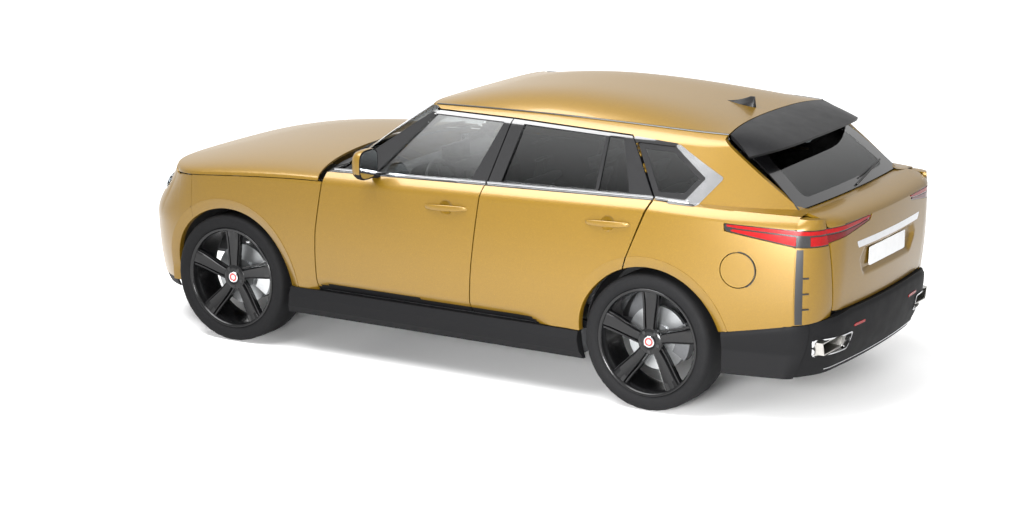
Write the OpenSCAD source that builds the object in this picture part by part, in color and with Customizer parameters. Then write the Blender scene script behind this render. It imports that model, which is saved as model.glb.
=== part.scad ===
// Five-door sport utility car: monocoque platform, hung panels, glass, cabin and running gear.
// Millimetres. +X forward, +Y to the left, +Z up. Origin on the floor, under the middle of the length.

/* [Overall] */
// Length from nose to tail
body_length = 4940; // [4860:10:5020]
// Width over the body sides, without the mirrors
body_width = 1970; // [1940:5:2000]
// Height of the roof's crown
roof_height = 1735; // [1715:5:1755]
// Distance between the axles
wheelbase = 2950; // [2920:5:2980]
// Nose to front axle
front_overhang = 905; // [890:5:920]
// Height of the waistline at the middle of the car
belt_height = 1188; // [1178:2:1198]

/* [Wheels] */
// Tyre outside diameter
tyre_d = 812; // [796:4:824]
// Tyre section width
tyre_w = 275; // [255:5:285]
// Rim lip diameter
rim_d = 638; // [620:2:648]
// Distance between the middles of the left and right tyres
track = 1655; // [1645:5:1665]
// Brake disc diameter
disc_d = 380; // [360:5:400]
// Radius of the stub axle that each wheel turns on
stub_r = 24; // [20:1:28]
// Number of spokes in each rim
spokes = 5; // [5:1:6]

/* [Panels] */
// Gap round the doors and lids
panel_gap = 5; // [5:0.5:7]
// Gap at the hinged edge of a door
hinge_gap = 7.5; // [7:0.5:9]
// Seam between fixed panels
seam = 0.6; // [0.4:0.1:0.8]
// Thickness of a door's edge and window frame
door_edge_t = 45; // [40:1:50]
// Thickness of a whole door below its window
door_t = 115; // [100:5:125]
// Depth of the pillars behind the outer skin
frame_depth = 75; // [72:1:80]
// Thickness of the inner pillars
pillar_t = 40; // [30:2:46]
// Thickness of wings, bumpers and roof
skin_t = 10; // [8:1:12]
// Thickness of the side glass
glass_t = 5; // [4:0.5:6]
// Clearance between bonded or bolted pieces
seat_gap = 0.3; // [0.2:0.05:0.4]
// Clearance of a pin in its eye
pin_gap = 0.05; // [0.03:0.01:0.08]

/* [Hidden] */
$fn = 48;

// Places along the car
nose_x = body_length / 2;
tail_x = -body_length / 2;
front_axle_x = nose_x - front_overhang;
rear_axle_x = front_axle_x - wheelbase;
wheel_y = track / 2;
axle_z = tyre_d / 2;
half_w = body_width / 2;

// Heights
sill_top_z = 412;
sill_low_z = 245;
fullest_z = 760;
cant_z = 1545;
edge_z_mid = 1612;
shoulder_h = 70;

// Plan shape of the body
front_corner_x = nose_x - 770;
rear_taper_x = rear_axle_x + 85;
corner_x = tail_x + 214;
wing_front_x = front_axle_x + 275;
arch_r = 450;
arch_lip = 62;
arch_lip_in = 22;

// Colours
paint = "goldenrod";
black = "#1c1c1e";
tint = "#50555a";
alloy = "#2c2c2e";
metal = "#8f9296";
lamp_red = "#c01a1c";
trim = "#333336";

function mix(a, b, t) = a + (b - a) * t;
function clamp(t) = min(max(t, 0), 1);
function ease(t) = let (s = clamp(t)) s * s * (3 - 2 * s);
function sq(t) = t * t;
function steps(a, b, n) = [for (i = [0:n]) mix(a, b, i / n)];

// The body surface

// Nose position at a height
function nose_at(z) = nose_x - 200 * sq((z - 520) / 1000);
// Half width at the fullest height: rounded front corners and a rear taper
function half_width(x, z) =
    x > front_corner_x
        ? half_w * pow(max(0, 1 - pow((x - front_corner_x) / (nose_at(z) - front_corner_x), 2.5)), 0.4)
        : half_w - 126 * sq(max(0, rear_taper_x - x) / 1000);
// Height of the waistline
function belt(x) = belt_height - 0.0325 * max(x, rear_axle_x) - 19 * max(0, rear_axle_x - x) / 1000;
// How far the lower side falls in from the fullest height
function fall(z) = z < fullest_z ? 45 * sq((fullest_z - z) / 340) : 18 * sq((z - fullest_z) / 340);
// Undercut along the foot of the doors
function undercut(x, z) = 45 * ease((500 - z) / 110) * ease((x + 760) / 240) * ease((front_axle_x - 560 - x) / 200);
// Greenhouse: taper to the tail, lean and the turn over the cant rail
function tail_in(x) = 110 * sq(max(0, -1500 - x) / 700);
function side_y(x, z) =
    let (b = belt(x), s = b - shoulder_h, w = half_width(x, z))
    z <= s ? w - fall(z) - undercut(x, z)
    : z <= b ? w - fall(s) - 50 * pow((z - s) / shoulder_h, 1.6)
    : w - fall(s) - 70 - tail_in(x) - 0.466 * (z - b) - 60 * pow(max(0, z - cant_z) / 67, 1.5);
// Height of the roof's outer edge, and of its crown
function edge_z(x) = edge_z_mid - 10 * sq((x + 800) / 900);
function crown_z(x) = roof_height - (x < -650 ? 40 : 75) * sq((x + 650) / 1000);

// A closed sheet between two grids of points, its first grid outside
module sheet(outer, inner) {
    n = len(outer);
    m = len(outer[0]);
    function id(g, i, j) = (g * n + i) * m + j;
    function quad(a, b, c, d) = [[a, b, c], [a, c, d]];
    faces = [
        for (i = [0:n - 2], j = [0:m - 2]) each quad(id(0, i, j), id(0, i + 1, j), id(0, i + 1, j + 1), id(0, i, j + 1)),
        for (i = [0:n - 2], j = [0:m - 2]) each quad(id(1, i, j), id(1, i, j + 1), id(1, i + 1, j + 1), id(1, i + 1, j)),
        for (i = [0:n - 2]) each quad(id(0, i + 1, 0), id(0, i, 0), id(1, i, 0), id(1, i + 1, 0)),
        for (i = [0:n - 2]) each quad(id(0, i, m - 1), id(0, i + 1, m - 1), id(1, i + 1, m - 1), id(1, i, m - 1)),
        for (j = [0:m - 2]) each quad(id(0, n - 1, j + 1), id(0, n - 1, j), id(1, n - 1, j), id(1, n - 1, j + 1)),
        for (j = [0:m - 2]) each quad(id(0, 0, j), id(0, 0, j + 1), id(1, 0, j + 1), id(1, 0, j))];
    polyhedron([for (g = [outer, inner]) for (row = g) each row], faces, convexity = 6);
}

// The side's own grid: stations along the car and lines up it, shared by every side panel
side_n = 22;
side_m = 13;
// Depth of the step that the roof panel lies in
roof_rebate = 14;
function station(i) = mix(corner_x, wing_front_x, i / side_n);
function side_line(x, j) =
    let (b = belt(x))
    j <= 5 ? mix(sill_top_z + seam, b - shoulder_h, j / 5)
    : j == 6 ? b - 28
    : j == 7 ? b
    : j <= 11 ? mix(b + 10, cant_z, (j - 8) / 3)
    : j == 12 ? mix(cant_z, edge_z(x), 0.5)
    : edge_z(x);
function side_grid(i0, i1, j0, j1, depth) =
    [for (i = [i0:i1]) [for (j = [j0:j1])
        let (x = station(i), z = side_line(x, j), edge = j == side_m && depth > 0)
        [x, side_y(x, z) - (edge ? 1.5 : depth), z - (edge ? roof_rebate : 0)]]];
module side_sheet(i0, i1, j0, j1, d0, d1) sheet(side_grid(i0, i1, j0, j1, d0), side_grid(i0, i1, j0, j1, d1));
// First station at or behind a place, and the one at or before it
function behind(x) = max(0, floor((x - corner_x) / (wing_front_x - corner_x) * side_n));
function ahead(x) = min(side_n, ceil((x - corner_x) / (wing_front_x - corner_x) * side_n));

// A flat outline (x, z) carried across the car from y0 to y1
module across(outline, y0, y1) translate([0, y1, 0]) rotate([90, 0, 0]) linear_extrude(y1 - y0) polygon(outline);
// A flat outline (y, z) carried along the car from x0 to x1
module along(outline, x0, x1) translate([x0, 0, 0]) rotate([90, 0, 90]) linear_extrude(x1 - x0) polygon(outline);
module both() {
    children();
    mirror([0, 1, 0]) children();
}
// An outline grown by d, for outlines that run anticlockwise
function grow(p, d) =
    let (n = len(p))
    [for (i = [0:n - 1])
        let (a = p[(i + n - 1) % n], b = p[i], c = p[(i + 1) % n],
            u = (b - a) / norm(b - a), v = (c - b) / norm(c - b),
            nu = [u[1], -u[0]], nv = [v[1], -v[0]])
        b + d * (nu + nv) / (1 + nu * nv)];

// Outlines in side view (x, z), anticlockwise seen from the right, which is with x to the right and z up

door_low_z = sill_top_z + panel_gap + seam;
frame_top_z = 1571;
b_low = [-187, door_low_z];
b_waist = [-274, 1197];
b_top = [-352, frame_top_z - 2];
function b_line(z) =
    z < b_waist[1] ? mix(b_low, b_waist, (z - b_low[1]) / (b_waist[1] - b_low[1]))
    : mix(b_waist, b_top, (z - b_waist[1]) / (b_top[1] - b_waist[1]));
a_foot = [904, door_low_z];
a_mid = [886, 800];
a_waist = [836, 1158];
front_door_outline = [b_low, a_foot, a_mid, a_waist, [720, 1176], [160, frame_top_z], b_top, b_waist];
c_arch = [rear_axle_x + 165, 815];
c_waist = [-1387, 1230];
c_top = [-1168, frame_top_z - 18];
front_of_b = [-hinge_gap, 0];
rear_door_outline = [[-1100, door_low_z], b_low + front_of_b, b_waist + front_of_b, b_top + front_of_b, c_top, c_waist,
    c_arch, [c_arch[0], 600]];
front_window = [[-166, 1212], [507, 1176], [174, 1553], [-304, 1550]];
rear_window = [[-1224, 1250], [-373, 1226], [-441, 1551], [-1115, 1537]];
quarter_window = [[-1576, 1248], [-1386, 1240], [-1200, 1527], [-1455, 1525], [-1672, 1372]];
pillar_front = [[215, 1606], [822, 1139], [822, 300], [1200, 300], [1200, 1760], [215, 1760]];
pillar_top = [[215, 1606], [822, 1139], [855, 1108], [985, 1090], [985, 300], [1200, 300], [1200, 1760], [215, 1760]];
lamp_side = [[corner_x - 60, 1052], [corner_x + 10, 1054], [-1849, 1115], [-1843, 1159], [corner_x - 60, 1149]];
bumper_line_arch = 526;
bumper_line_tail = 604;
function bumper_line(x) = mix(bumper_line_tail, bumper_line_arch, (x - corner_x) / (rear_axle_x - 455 - corner_x));

// Wheel arch: round opening with a chamfered lip
module arch_cut(x, r = arch_r) translate([x, 0, axle_z]) rotate([-90, 0, 0]) {
    cylinder(r = r, h = half_w + 20);
    translate([0, 0, half_w - arch_lip_in]) cylinder(r1 = r, r2 = r + arch_lip, h = arch_lip_in + 0.5);
}

// Doors

hinge_in = 13;
hinge_back = 36;
front_hinge = [a_mid[0] - hinge_back, side_y(a_mid[0], fullest_z) - hinge_in];
rear_hinge = [b_line(800)[0] - hinge_gap - hinge_back, side_y(-250, fullest_z) - hinge_in];
hinge_z = [680, 930];
hinge_pin_r = 4;
hinge_pin_h = 60;
hinge_eye_r = 8;
hinge_eye_h = 24;

// Pull handle: a bowed bar on two feet over a round scoop
module handle(x, z) {
    y = side_y(x, z);
    translate([x, y + 16, z]) rotate([0, 90, 0]) cylinder(r = 9, h = 200, center = true);
    for (s = [-1, 1]) translate([x + s * 84, y - 14, z]) rotate([-90, 0, 0]) cylinder(r = 8, h = 34);
}
module handle_scoop(x, z) translate([x, side_y(x, z) - 16, z]) rotate([-90, 0, 0]) cylinder(r = 46, h = 40);

module hinge_pins(hinge) for (z = hinge_z) {
    translate([hinge[0], hinge[1], z - hinge_pin_h / 2]) cylinder(r = hinge_pin_r, h = hinge_pin_h);
    for (s = [-1, 1]) translate([hinge[0] - 26, hinge[1] - 12, z + s * (hinge_pin_h / 2 - 4) - 6]) cube([30, 16, 12]);
}
// Room in the door round the body's hinge eye
module hinge_room(hinge) for (z = hinge_z)
    translate([hinge[0], hinge[1], z - hinge_eye_h / 2 - 3]) {
        cylinder(r = hinge_eye_r + 5, h = hinge_eye_h + 6);
        translate([-hinge_eye_r - 5, -120, 0]) cube([2 * hinge_eye_r + 60, 120, hinge_eye_h + 6]);
    }
module hinge_eyes(hinge) for (z = hinge_z) difference() {
    translate([hinge[0], hinge[1], z - hinge_eye_h / 2]) {
        cylinder(r = hinge_eye_r, h = hinge_eye_h);
        translate([-4, -frame_depth - 10, 0]) cube([8, frame_depth + 10, hinge_eye_h]);
    }
    translate([hinge[0], hinge[1], z - hinge_eye_h]) cylinder(r = hinge_pin_r + pin_gap, h = 2 * hinge_eye_h);
}

module door(outline, window, x0, x1, handle_at, hinge) {
    y1 = half_w + 60;
    difference() {
        union() {
            difference() {
                intersection() {
                    side_sheet(behind(x0), ahead(x1), 0, 12, 0, door_edge_t);
                    across(outline, 0, y1);
                }
                handle_scoop(handle_at[0], handle_at[1]);
            }
            intersection() {
                side_sheet(behind(x0), ahead(x1), 0, 7, door_edge_t - 5, door_t);
                across(grow(outline, -62), 0, y1);
            }
            handle(handle_at[0], handle_at[1]);
        }
        across(window, 0, y1);
        arch_cut(rear_axle_x, arch_r);
        hinge_room(hinge);
    }
    hinge_pins(hinge);
}
module front_door() color(paint) difference() {
    door(front_door_outline, front_window, b_top[0], a_foot[0], [25, 1046], front_hinge);
    mirror_socket(mirror_foot_r + seat_gap);
}
module rear_door() color(paint)
    door(rear_door_outline, rear_window, c_waist[0], b_low[0], [-1132, 1082], rear_hinge);
module door_glass(window, x0, x1) color(tint) intersection() {
    side_sheet(behind(x0), ahead(x1), 6, 12, 14, 14 + glass_t);
    across(grow(window, -seat_gap), 0, half_w);
}

module front_glass() door_glass(front_window, front_window[3][0], front_window[1][0]);
module rear_glass() door_glass(rear_window, rear_window[0][0], rear_window[1][0]);
module quarter_glass() both() door_glass(quarter_window, quarter_window[4][0], quarter_window[2][0]);

// Mirrors on the front doors

mirror_x = 452;
mirror_z = 1168;
mirror_foot_r = 20;
module mirror_socket(r) translate([mirror_x, half_w - 200, mirror_z]) rotate([-90, 0, 0]) cylinder(r = r, h = 260);
module door_mirror() color(paint) {
    translate([mirror_x, side_y(mirror_x, mirror_z) - 30, mirror_z]) rotate([-90, 0, 0])
        cylinder(r = mirror_foot_r, h = 120);
    translate([mirror_x, side_y(mirror_x, mirror_z) + 45, mirror_z + 78]) hull() {
        for (y = [0, 150], z = [-62, 50]) translate([0, y, z]) rotate([0, 90, 0]) cylinder(r = 26, h = 30, $fn = 24);
        for (y = [26, 116], z = [-36, 24]) translate([60, y, z]) sphere(r = 22, $fn = 20);
    }
}

// Body sides, pillars, roof and screen

module body_side() color(paint) difference() {
    side_sheet(0, ahead(a_foot[0] + 60), 0, side_m, 0, frame_depth - seat_gap);
    across(grow(front_door_outline, hinge_gap), 0, half_w + 60);
    across(grow(rear_door_outline, hinge_gap), 0, half_w + 60);
    across([[-1100, 300], [1100, 300], [1100, 1170], [836, 1170], [836, 1000], [-1100, 1000]], 0, half_w + 60);
    across(quarter_window, 0, half_w + 60);
    across(pillar_front, 0, half_w + 60);
    across(grow(lamp_side, seam), 0, half_w + 60);
    across([[corner_x - 200, 300], [-1500, 300], [rear_axle_x - 300, bumper_line(rear_axle_x - 300)],
        [corner_x - 200, bumper_line(corner_x - 200)]], 0, half_w + 60);
    arch_cut(rear_axle_x);
    tailgate_room(panel_gap, 85);
}
roof_n = 10;
roof_m = 8;
// Stations along and across the roof, with one of each for the bows under it
roof_u = concat([0], steps(0.036, 1, roof_n - 1));
roof_w = [1, 0.9, 0.6, 0.3, 0, -0.3, -0.6, -0.9, -1];
header_x = 232;
roof_seam_x = -1716;
function header_at(w) = header_x + 120 * (1 - w * w);
function roof_seam_at(w) = roof_seam_x - 55 * (1 - w * w);
function roof_point(u, w, drop) =
    let (x = mix(roof_seam_at(w), header_at(w), u), y = w * (side_y(x, edge_z(x)) - 4))
    [x, y, edge_z(x) + (crown_z(x) - edge_z(x)) * (1 - w * w) - drop];
function roof_grid(i0, i1, j0, drop) =
    [for (i = [i0:i1]) [for (j = [j0:roof_m - j0]) roof_point(roof_u[i], roof_w[j], drop)]];
module roof_panel() color(paint) sheet(roof_grid(0, roof_n, 0, 0), roof_grid(0, roof_n, 0, skin_t));
// A bow under the roof, on the roof's own stations so that the two lie close
bow_t = 54;
module roof_bow(i) sheet(roof_grid(i, i + 1, 1, skin_t + seat_gap), roof_grid(i, i + 1, 1, skin_t + bow_t));

module inner_pillars() {
    difference() {
        side_sheet(0, ahead(a_foot[0] + 60), 0, side_m - 1, frame_depth, frame_depth + pillar_t);
        across(grow(front_door_outline, -42), 0, half_w);
        across(grow(rear_door_outline, -42), 0, half_w);
        across(quarter_window, 0, half_w);
        across(pillar_top, 0, half_w);
        arch_cut(rear_axle_x, arch_r + 25);
        tailgate_room(panel_gap, 85);
        behind_gate(100, half_w);
        across([[tail_x, 300], [-1800, 300], [-1800, 620], [tail_x, 620]], 0, half_w);
    }
    hinge_eyes(front_hinge);
    hinge_eyes(rear_hinge);
}
module cabin_frame() color(trim) {
    both() inner_pillars();
    difference() {
        roof_bow(1);
        both() {
            translate([lid_hinge[0] - 200, lid_hinge_y - 17, lid_hinge[1] - 80]) cube([240, 34, 140]);
            translate([lid_hinge[0] - 13, lid_hinge_y - 40, lid_hinge[1] - 60]) cube([26, 80, 60 + 16]);
        }
    }
    roof_bow(roof_n - 1);
    both() lid_lugs(lid_hinge, lid_hinge_y, 18, 0);
}

// Pin lugs on either side of a lid's arm, standing up or hanging down from the body
lid_pin_r = 7;
lug_t = 14;
module lid_lugs(at, y, up, down) difference() {
    for (s = [-1, 1]) translate([at[0], y + s * 26, at[1]]) {
        rotate([90, 0, 0]) cylinder(r = 14, h = lug_t, center = true);
        translate([-12, -lug_t / 2, -down]) cube([24, lug_t, up + down]);
    }
    translate([at[0], y, at[1]]) rotate([90, 0, 0]) cylinder(r = lid_pin_r + pin_gap, h = 100, center = true);
}
module lid_pin(at, y) translate([at[0], y, at[1]]) rotate([90, 0, 0]) cylinder(r = lid_pin_r, h = 66, center = true);

// Windscreen: from the cowl to the roof's front edge
screen_n = 7;
function cowl_point(w) = [800 + 155 * (1 - w * w), w * 800, 1168 + 22 * (1 - w * w)];
function screen_point(u, w, drop) =
    let (a = cowl_point(w), b = roof_point(1, w, 0) + [seam + 2.6, 0, -1], p = mix(a, b, u))
    p + 30 * u * (1 - u) * [0.5, 0, 0.85] - drop * [0.5, 0, 0.85];
function screen_grid(drop) =
    [for (i = [0:screen_n]) [for (j = [0:roof_m]) screen_point(1 - i / screen_n, roof_w[j], drop)]];
module windscreen() color(tint) sheet(screen_grid(0), screen_grid(glass_t));

// Cowl panel between the screen and the bonnet, with a slot for each bonnet arm
cowl_gap = 0.5;
function cowl_grid(drop) =
    [for (i = [0:2]) [for (j = [1:roof_m - 1])
        let (w = roof_w[j], a = cowl_point(w) + [cowl_gap, 0, -cowl_gap], b = bonnet_point(0, w, 40) - [10, 0, 0])
        mix(a, b, i / 2) - [0, 0, drop]]];
module cowl() color(black) difference() {
    sheet(cowl_grid(0), cowl_grid(8));
    both() translate([bonnet_hinge[0] - 100, bonnet_hinge_y - 18, 1050]) cube([300, 36, 200]);
}

// Front wings and bonnet

bonnet_side_x = 880;
function bonnet_line(x) =
    1108 - 68 * pow(max(0, x - bonnet_side_x) / 1020, 1.4) - 60 * ease((x - 2000) / 450);
wing_top_n = 8;
wing_outline = concat(
    [[a_foot[0] + hinge_gap, sill_top_z + seam], [wing_front_x - seam, sill_top_z + seam]],
    [for (x = steps(wing_front_x - seam, bonnet_side_x, wing_top_n)) [x, bonnet_line(x) - panel_gap]],
    [[a_waist[0] + hinge_gap + 8, 1104], [a_mid[0] + hinge_gap, a_mid[1]]]);
module front_wing() color(paint) difference() {
    intersection() {
        side_sheet(behind(a_waist[0]), side_n, 0, 7, 0, skin_t);
        across(wing_outline, 0, half_w + 60);
    }
    arch_cut(front_axle_x);
}
bonnet_n = 9;
bonnet_m = 14;
bonnet_tip_y = 860;
bonnet_power = 2.6;
function bonnet_front_x(y) =
    front_corner_x + (nose_at(960) - 12 - front_corner_x) * pow(1 - pow(abs(y) / 980, 2.5), 0.4);
function bonnet_rear_x(w) = bonnet_side_x + 155 * (1 - w * w);
function bonnet_crown(x) = 1192 - 132 * sq((x - 955) / 1245);
function bonnet_point(u, w, drop) =
    let (edge_x = mix(bonnet_rear_x(1), bonnet_front_x(bonnet_tip_y), u),
        edge_y = side_y(edge_x, bonnet_line(edge_x)),
        x = mix(bonnet_rear_x(w), bonnet_front_x(w * bonnet_tip_y), u),
        zb = bonnet_line(edge_x),
        arc = pow(max(0, 1 - pow(abs(w), bonnet_power)), 1 / bonnet_power))
    [x, w * (edge_y - drop * 0.5), zb + (bonnet_crown(x) - zb) * arc - drop * arc];
// Stations across the bonnet crowd towards its shoulders
function bonnet_w(j) = let (t = 1 - 2 * j / bonnet_m) sign(t) * (1 - pow(1 - abs(t), 1.5));
function bonnet_grid(drop) =
    [for (i = [0:bonnet_n]) [for (j = [0:bonnet_m]) bonnet_point(i / bonnet_n, bonnet_w(j), drop)]];
bonnet_hinge = [850, 1108];
bonnet_hinge_y = 700;
module bonnet() color(paint) {
    sheet(bonnet_grid(0), bonnet_grid(14));
    both() {
        lid_pin(bonnet_hinge, bonnet_hinge_y);
        across([[838, 1098], [1010, 1136], [1010, 1169], [975, 1169], [838, 1120]],
            bonnet_hinge_y - 10, bonnet_hinge_y + 10);
    }
}

// Front bumper: the nose, carried round the plan curve of the front corners

bumper_n = 18;
bumper_m = 6;
bumper_low_z = 268;
function chin(z) = 60 * sq(max(0, 450 - z) / 180);
function bumper_point(t, v, in) =
    let (z0 = mix(bumper_low_z, 985, v),
        nx = nose_at(z0) - chin(z0) - in,
        end = acos(pow((wing_front_x - front_corner_x) / (nx - front_corner_x), 1.25)),
        a = end * t,
        x = front_corner_x + (nx - front_corner_x) * pow(cos(a), 0.8),
        top = min(985 + 60 * pow(abs(t), 3), bonnet_line(x) - panel_gap - 3),
        z = mix(bumper_low_z, top, v),
        y = (half_w - in) * pow(abs(sin(a)), 0.8) - fall(z) * abs(sin(a)))
    [x, sign(t) * y, z];
function bumper_grid(in, i0 = 0, i1 = bumper_n) =
    [for (i = [i0:i1]) [for (j = [0:bumper_m]) bumper_point(1 - 2 * i / bumper_n, j / bumper_m, in)]];
grille_outline = [[-470, 640], [470, 640], [560, 760], [520, 905], [-520, 905], [-560, 760]];
intake_outline = [[-430, 330], [430, 330], [500, 430], [440, 520], [-440, 520], [-500, 430]];
lamp_front_outline = [[565, 905], [900, 880], [905, 960], [620, 965]];
module front_bumper() color(paint) difference() {
    sheet(bumper_grid(0), bumper_grid(skin_t));
    along(grille_outline, 2000, 2600);
    along(intake_outline, 2000, 2600);
    both() along(lamp_front_outline, 1950, 2600);
    arch_cut(front_axle_x);
    mirror([0, 1, 0]) arch_cut(front_axle_x);
}
module slatted(outline, heights, w) {
    difference() {
        along(grow(outline, 12), 2000, 2600);
        along(grow(outline, -22), 1990, 2610);
    }
    for (z = heights) along([[-w, z - 8], [w, z - 8], [w, z + 8], [-w, z + 8]], 2000, 2600);
}
module grille() color(black) intersection() {
    sheet(bumper_grid(skin_t + 1, 4, bumper_n - 4), bumper_grid(skin_t + 20, 4, bumper_n - 4));
    union() {
        slatted(grille_outline, [690:44:880], 545);
        slatted(intake_outline, [390, 450], 470);
    }
}
module headlamps() color("#d8dce0") both() intersection() {
    sheet(bumper_grid(3, 1, 6), bumper_grid(60, 1, 6));
    along(grow(lamp_front_outline, -seam), 1950, 2600);
}

// Tail: tailgate, glass, spoiler, lamps and bumper

function rear_x(y, z) =
    tail_x + 2 + 28 * sq((z - 1100) / 400) + 45 * sq(y / 720) + 150 * sq(clamp((abs(y) - 560) / 310));
function gate_half(z) = mix(636, 722, clamp((z - 700) / 500));
gate_m = 12;
gate_low_z = 652;
ledge_z = 1196;
glass_foot = [tail_x + 238, 1224];
// Rows of the tailgate: 0 to 5 up the face, 6 the ledge's edge, 7 and 8 the ledge, 9 to 12 up the glass
function gate_row(k, w) =
    k <= 5 ? let (z = mix(gate_low_z + 44 * pow(abs(w), 6), 1160, k / 5), y = w * gate_half(z)) [rear_x(y, z), y, z]
    : k == 6 ? let (y = w * gate_half(ledge_z)) [rear_x(y, ledge_z) + 20, y, ledge_z]
    : k == 7 ? [glass_foot[0] - 60 + 34 * w * w, w * 708, glass_foot[1] - 4]
    : let (a = [glass_foot[0] + 30 * w * w, w * 690, glass_foot[1]],
        b = roof_point(0, w, 30) - [lid_gap + 3, 0, 0], t = (k - 8) / 4)
        mix(a, [b[0], w * 596, b[2]], t) + 60 * t * (1 - t) * [-0.63, 0, 0.78];
function gate_in(k) = k <= 5 ? [1, 0, 0] : k == 6 ? [0.6, 0, -0.8] : k == 7 ? [0.1, 0, -1] : k == 12 ? [0, 0, -1] : [0.63, 0, -0.78];
function gate_grid(rows, d) =
    [for (i = [0:gate_m]) let (w = -1 + 2 * i / gate_m) [for (k = rows) gate_row(k, w) + d * gate_in(k)]];
gate_t = 45;
// Gap between the roof and the top of the tailgate, which swings up past it
lid_gap = 9;
lid_hinge = [roof_seam_x + 65, 1648];
lid_hinge_y = 220;
// Goose-neck arm that passes round the roof's rear edge
neck_r = 136;
neck_n = 8;
module goose_neck() across(concat(
    [[lid_hinge[0] + 14, lid_hinge[1] + 8], [lid_hinge[0] - 10, lid_hinge[1] + 8], [lid_hinge[0] - 8, lid_hinge[1] - 122]],
    [for (a = steps(-78, -16, neck_n)) lid_hinge + (neck_r - 11) * [-cos(a), sin(a)]],
    [for (a = steps(-16, -84, neck_n)) lid_hinge + (neck_r + 11) * [-cos(a), sin(a)]],
    [[lid_hinge[0] + 14, lid_hinge[1] - 146]]), lid_hinge_y - 11, lid_hinge_y + 11);
gate_window = [[-600, 1262], [600, 1262], [520, 1560], [-520, 1560]];
plate_recess = [[-330, 850], [330, 850], [390, 930], [330, 985], [-330, 985], [-390, 930]];
tail_lamp_gate = [[742, 1062], [742, 1150], [276, 1160], [300, 1128]];
module tailgate() color(paint) {
    difference() {
        union() {
            sheet(gate_grid([0:8], 0), gate_grid([0:8], gate_t));
            difference() {
                sheet(gate_grid([7:12], glass_t + 1 + seat_gap), gate_grid([7:12], gate_t - 6));
                along(gate_window, -2500, -1500);
            }
        }
        along(plate_recess, tail_x - 50, tail_x + 28);
        for (s = [1, -1]) scale([1, s, 1]) along(grow(tail_lamp_gate, seam), tail_x - 50, tail_x + 150);
    }
    both() {
        lid_pin(lid_hinge, lid_hinge_y);
        goose_neck();
    }
}
glass_rows = [8.04, 9, 10, 11, 12];
module tailgate_glass() color(tint)
    sheet(gate_grid(glass_rows, 0), gate_grid(glass_rows, glass_t + 1));
// Room for the tailgate in the body: behind its glass, and deeper within its own width
gate_side = [[roof_seam_x, 1576], [glass_foot[0] + 30, glass_foot[1] + 4]];
module behind_gate(g, y1) across([[gate_side[0][0] + g, 1700], [gate_side[0][0] + g, gate_side[0][1]],
    [gate_side[1][0] + g, gate_side[1][1]], [gate_side[1][0] + g, gate_side[1][1] + 6], [tail_x - 50, gate_side[1][1] + 6],
    [tail_x - 50, 1700]], 0, y1);
module tailgate_room(g, deep) {
    behind_gate(g + 2, half_w);
    intersection() {
        behind_gate(g + deep, half_w);
        along([[0, 1150], [716 + g, 1150], [700 + g, 1230], [608 + g, 1590], [608 + g, 1700], [0, 1700]], tail_x - 50, 0);
    }
    translate([tail_x - 50, 0, 500]) cube([420 + g, gate_half(ledge_z) + g, 742]);
}
spoiler_n = 4;
function spoiler_top(u, w) =
    let (a = roof_point(0, w, 0) - [lid_gap, 0, 0], b = [-2010 - 38 * (1 - w * w), w * 600, 1532 + 14 * (1 - w * w)])
    mix(a, b, u) + 40 * u * (1 - u) * [0, 0, 1];
function spoiler_low(u, w) =
    let (g = gate_row(12, w) + [-8, 0, 1.3], h = gate_row(11, w) + [0, 0, 1.3])
    u <= 0.25 ? mix(g, mix(g, h, 0.6), u / 0.25) : spoiler_top(u, w) - [0, 0, mix(22, 12, u)];
function spoiler_grid(low) =
    [for (i = [0:spoiler_n]) [for (j = [0:gate_m])
        let (u = i / spoiler_n, w = -1 + 2 * j / gate_m) low ? spoiler_low(u, w) : spoiler_top(u, w)]];
module spoiler() color(black) sheet(spoiler_grid(false), spoiler_grid(true));

corner_n = 4;
corner_m = 6;
corner_top_z = 1206;
function corner_foot(y) = 646 - 42 * ease((abs(y) - 450) / 420);
function corner_point(s, v, in) =
    let (z = mix(corner_foot(mix(860, 650, s)) + 4, corner_top_z, v),
        a = [corner_x - seam, side_y(corner_x, z), z],
        yb = gate_half(z) + panel_gap + 4,
        b = [rear_x(yb, z), yb, z])
    mix(a, b, s) + 120 * s * (1 - s) * [-0.75, 0.66, 0] - in * mix([0, 1, 0], [-1, 0, 0], s);
function corner_grid(in) =
    [for (i = [0:corner_n]) [for (j = [0:corner_m]) corner_point(1 - i / corner_n, j / corner_m, in)]];
lamp_corner = [[600, 1053], [1000, 1053], [1000, 1150], [600, 1150]];
module rear_corners() color(paint) both() difference() {
    sheet(corner_grid(0), corner_grid(24));
    along(grow(lamp_corner, seam), tail_x - 50, corner_x + 50);
}
module tail_lamps() color(lamp_red) both() {
    intersection() {
        side_sheet(0, ahead(-1800), 3, 7, 2, 46);
        across(lamp_side, 0, half_w);
    }
    intersection() {
        sheet(corner_grid(2), corner_grid(22));
        along(lamp_corner, tail_x - 50, corner_x + 50);
    }
}
module tailgate_lamps() color(lamp_red) for (s = [1, -1]) scale([1, s, 1]) intersection() {
    sheet(gate_grid([3:6], 2), gate_grid([3:6], 30));
    along(tail_lamp_gate, tail_x - 50, tail_x + 150);
}

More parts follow.
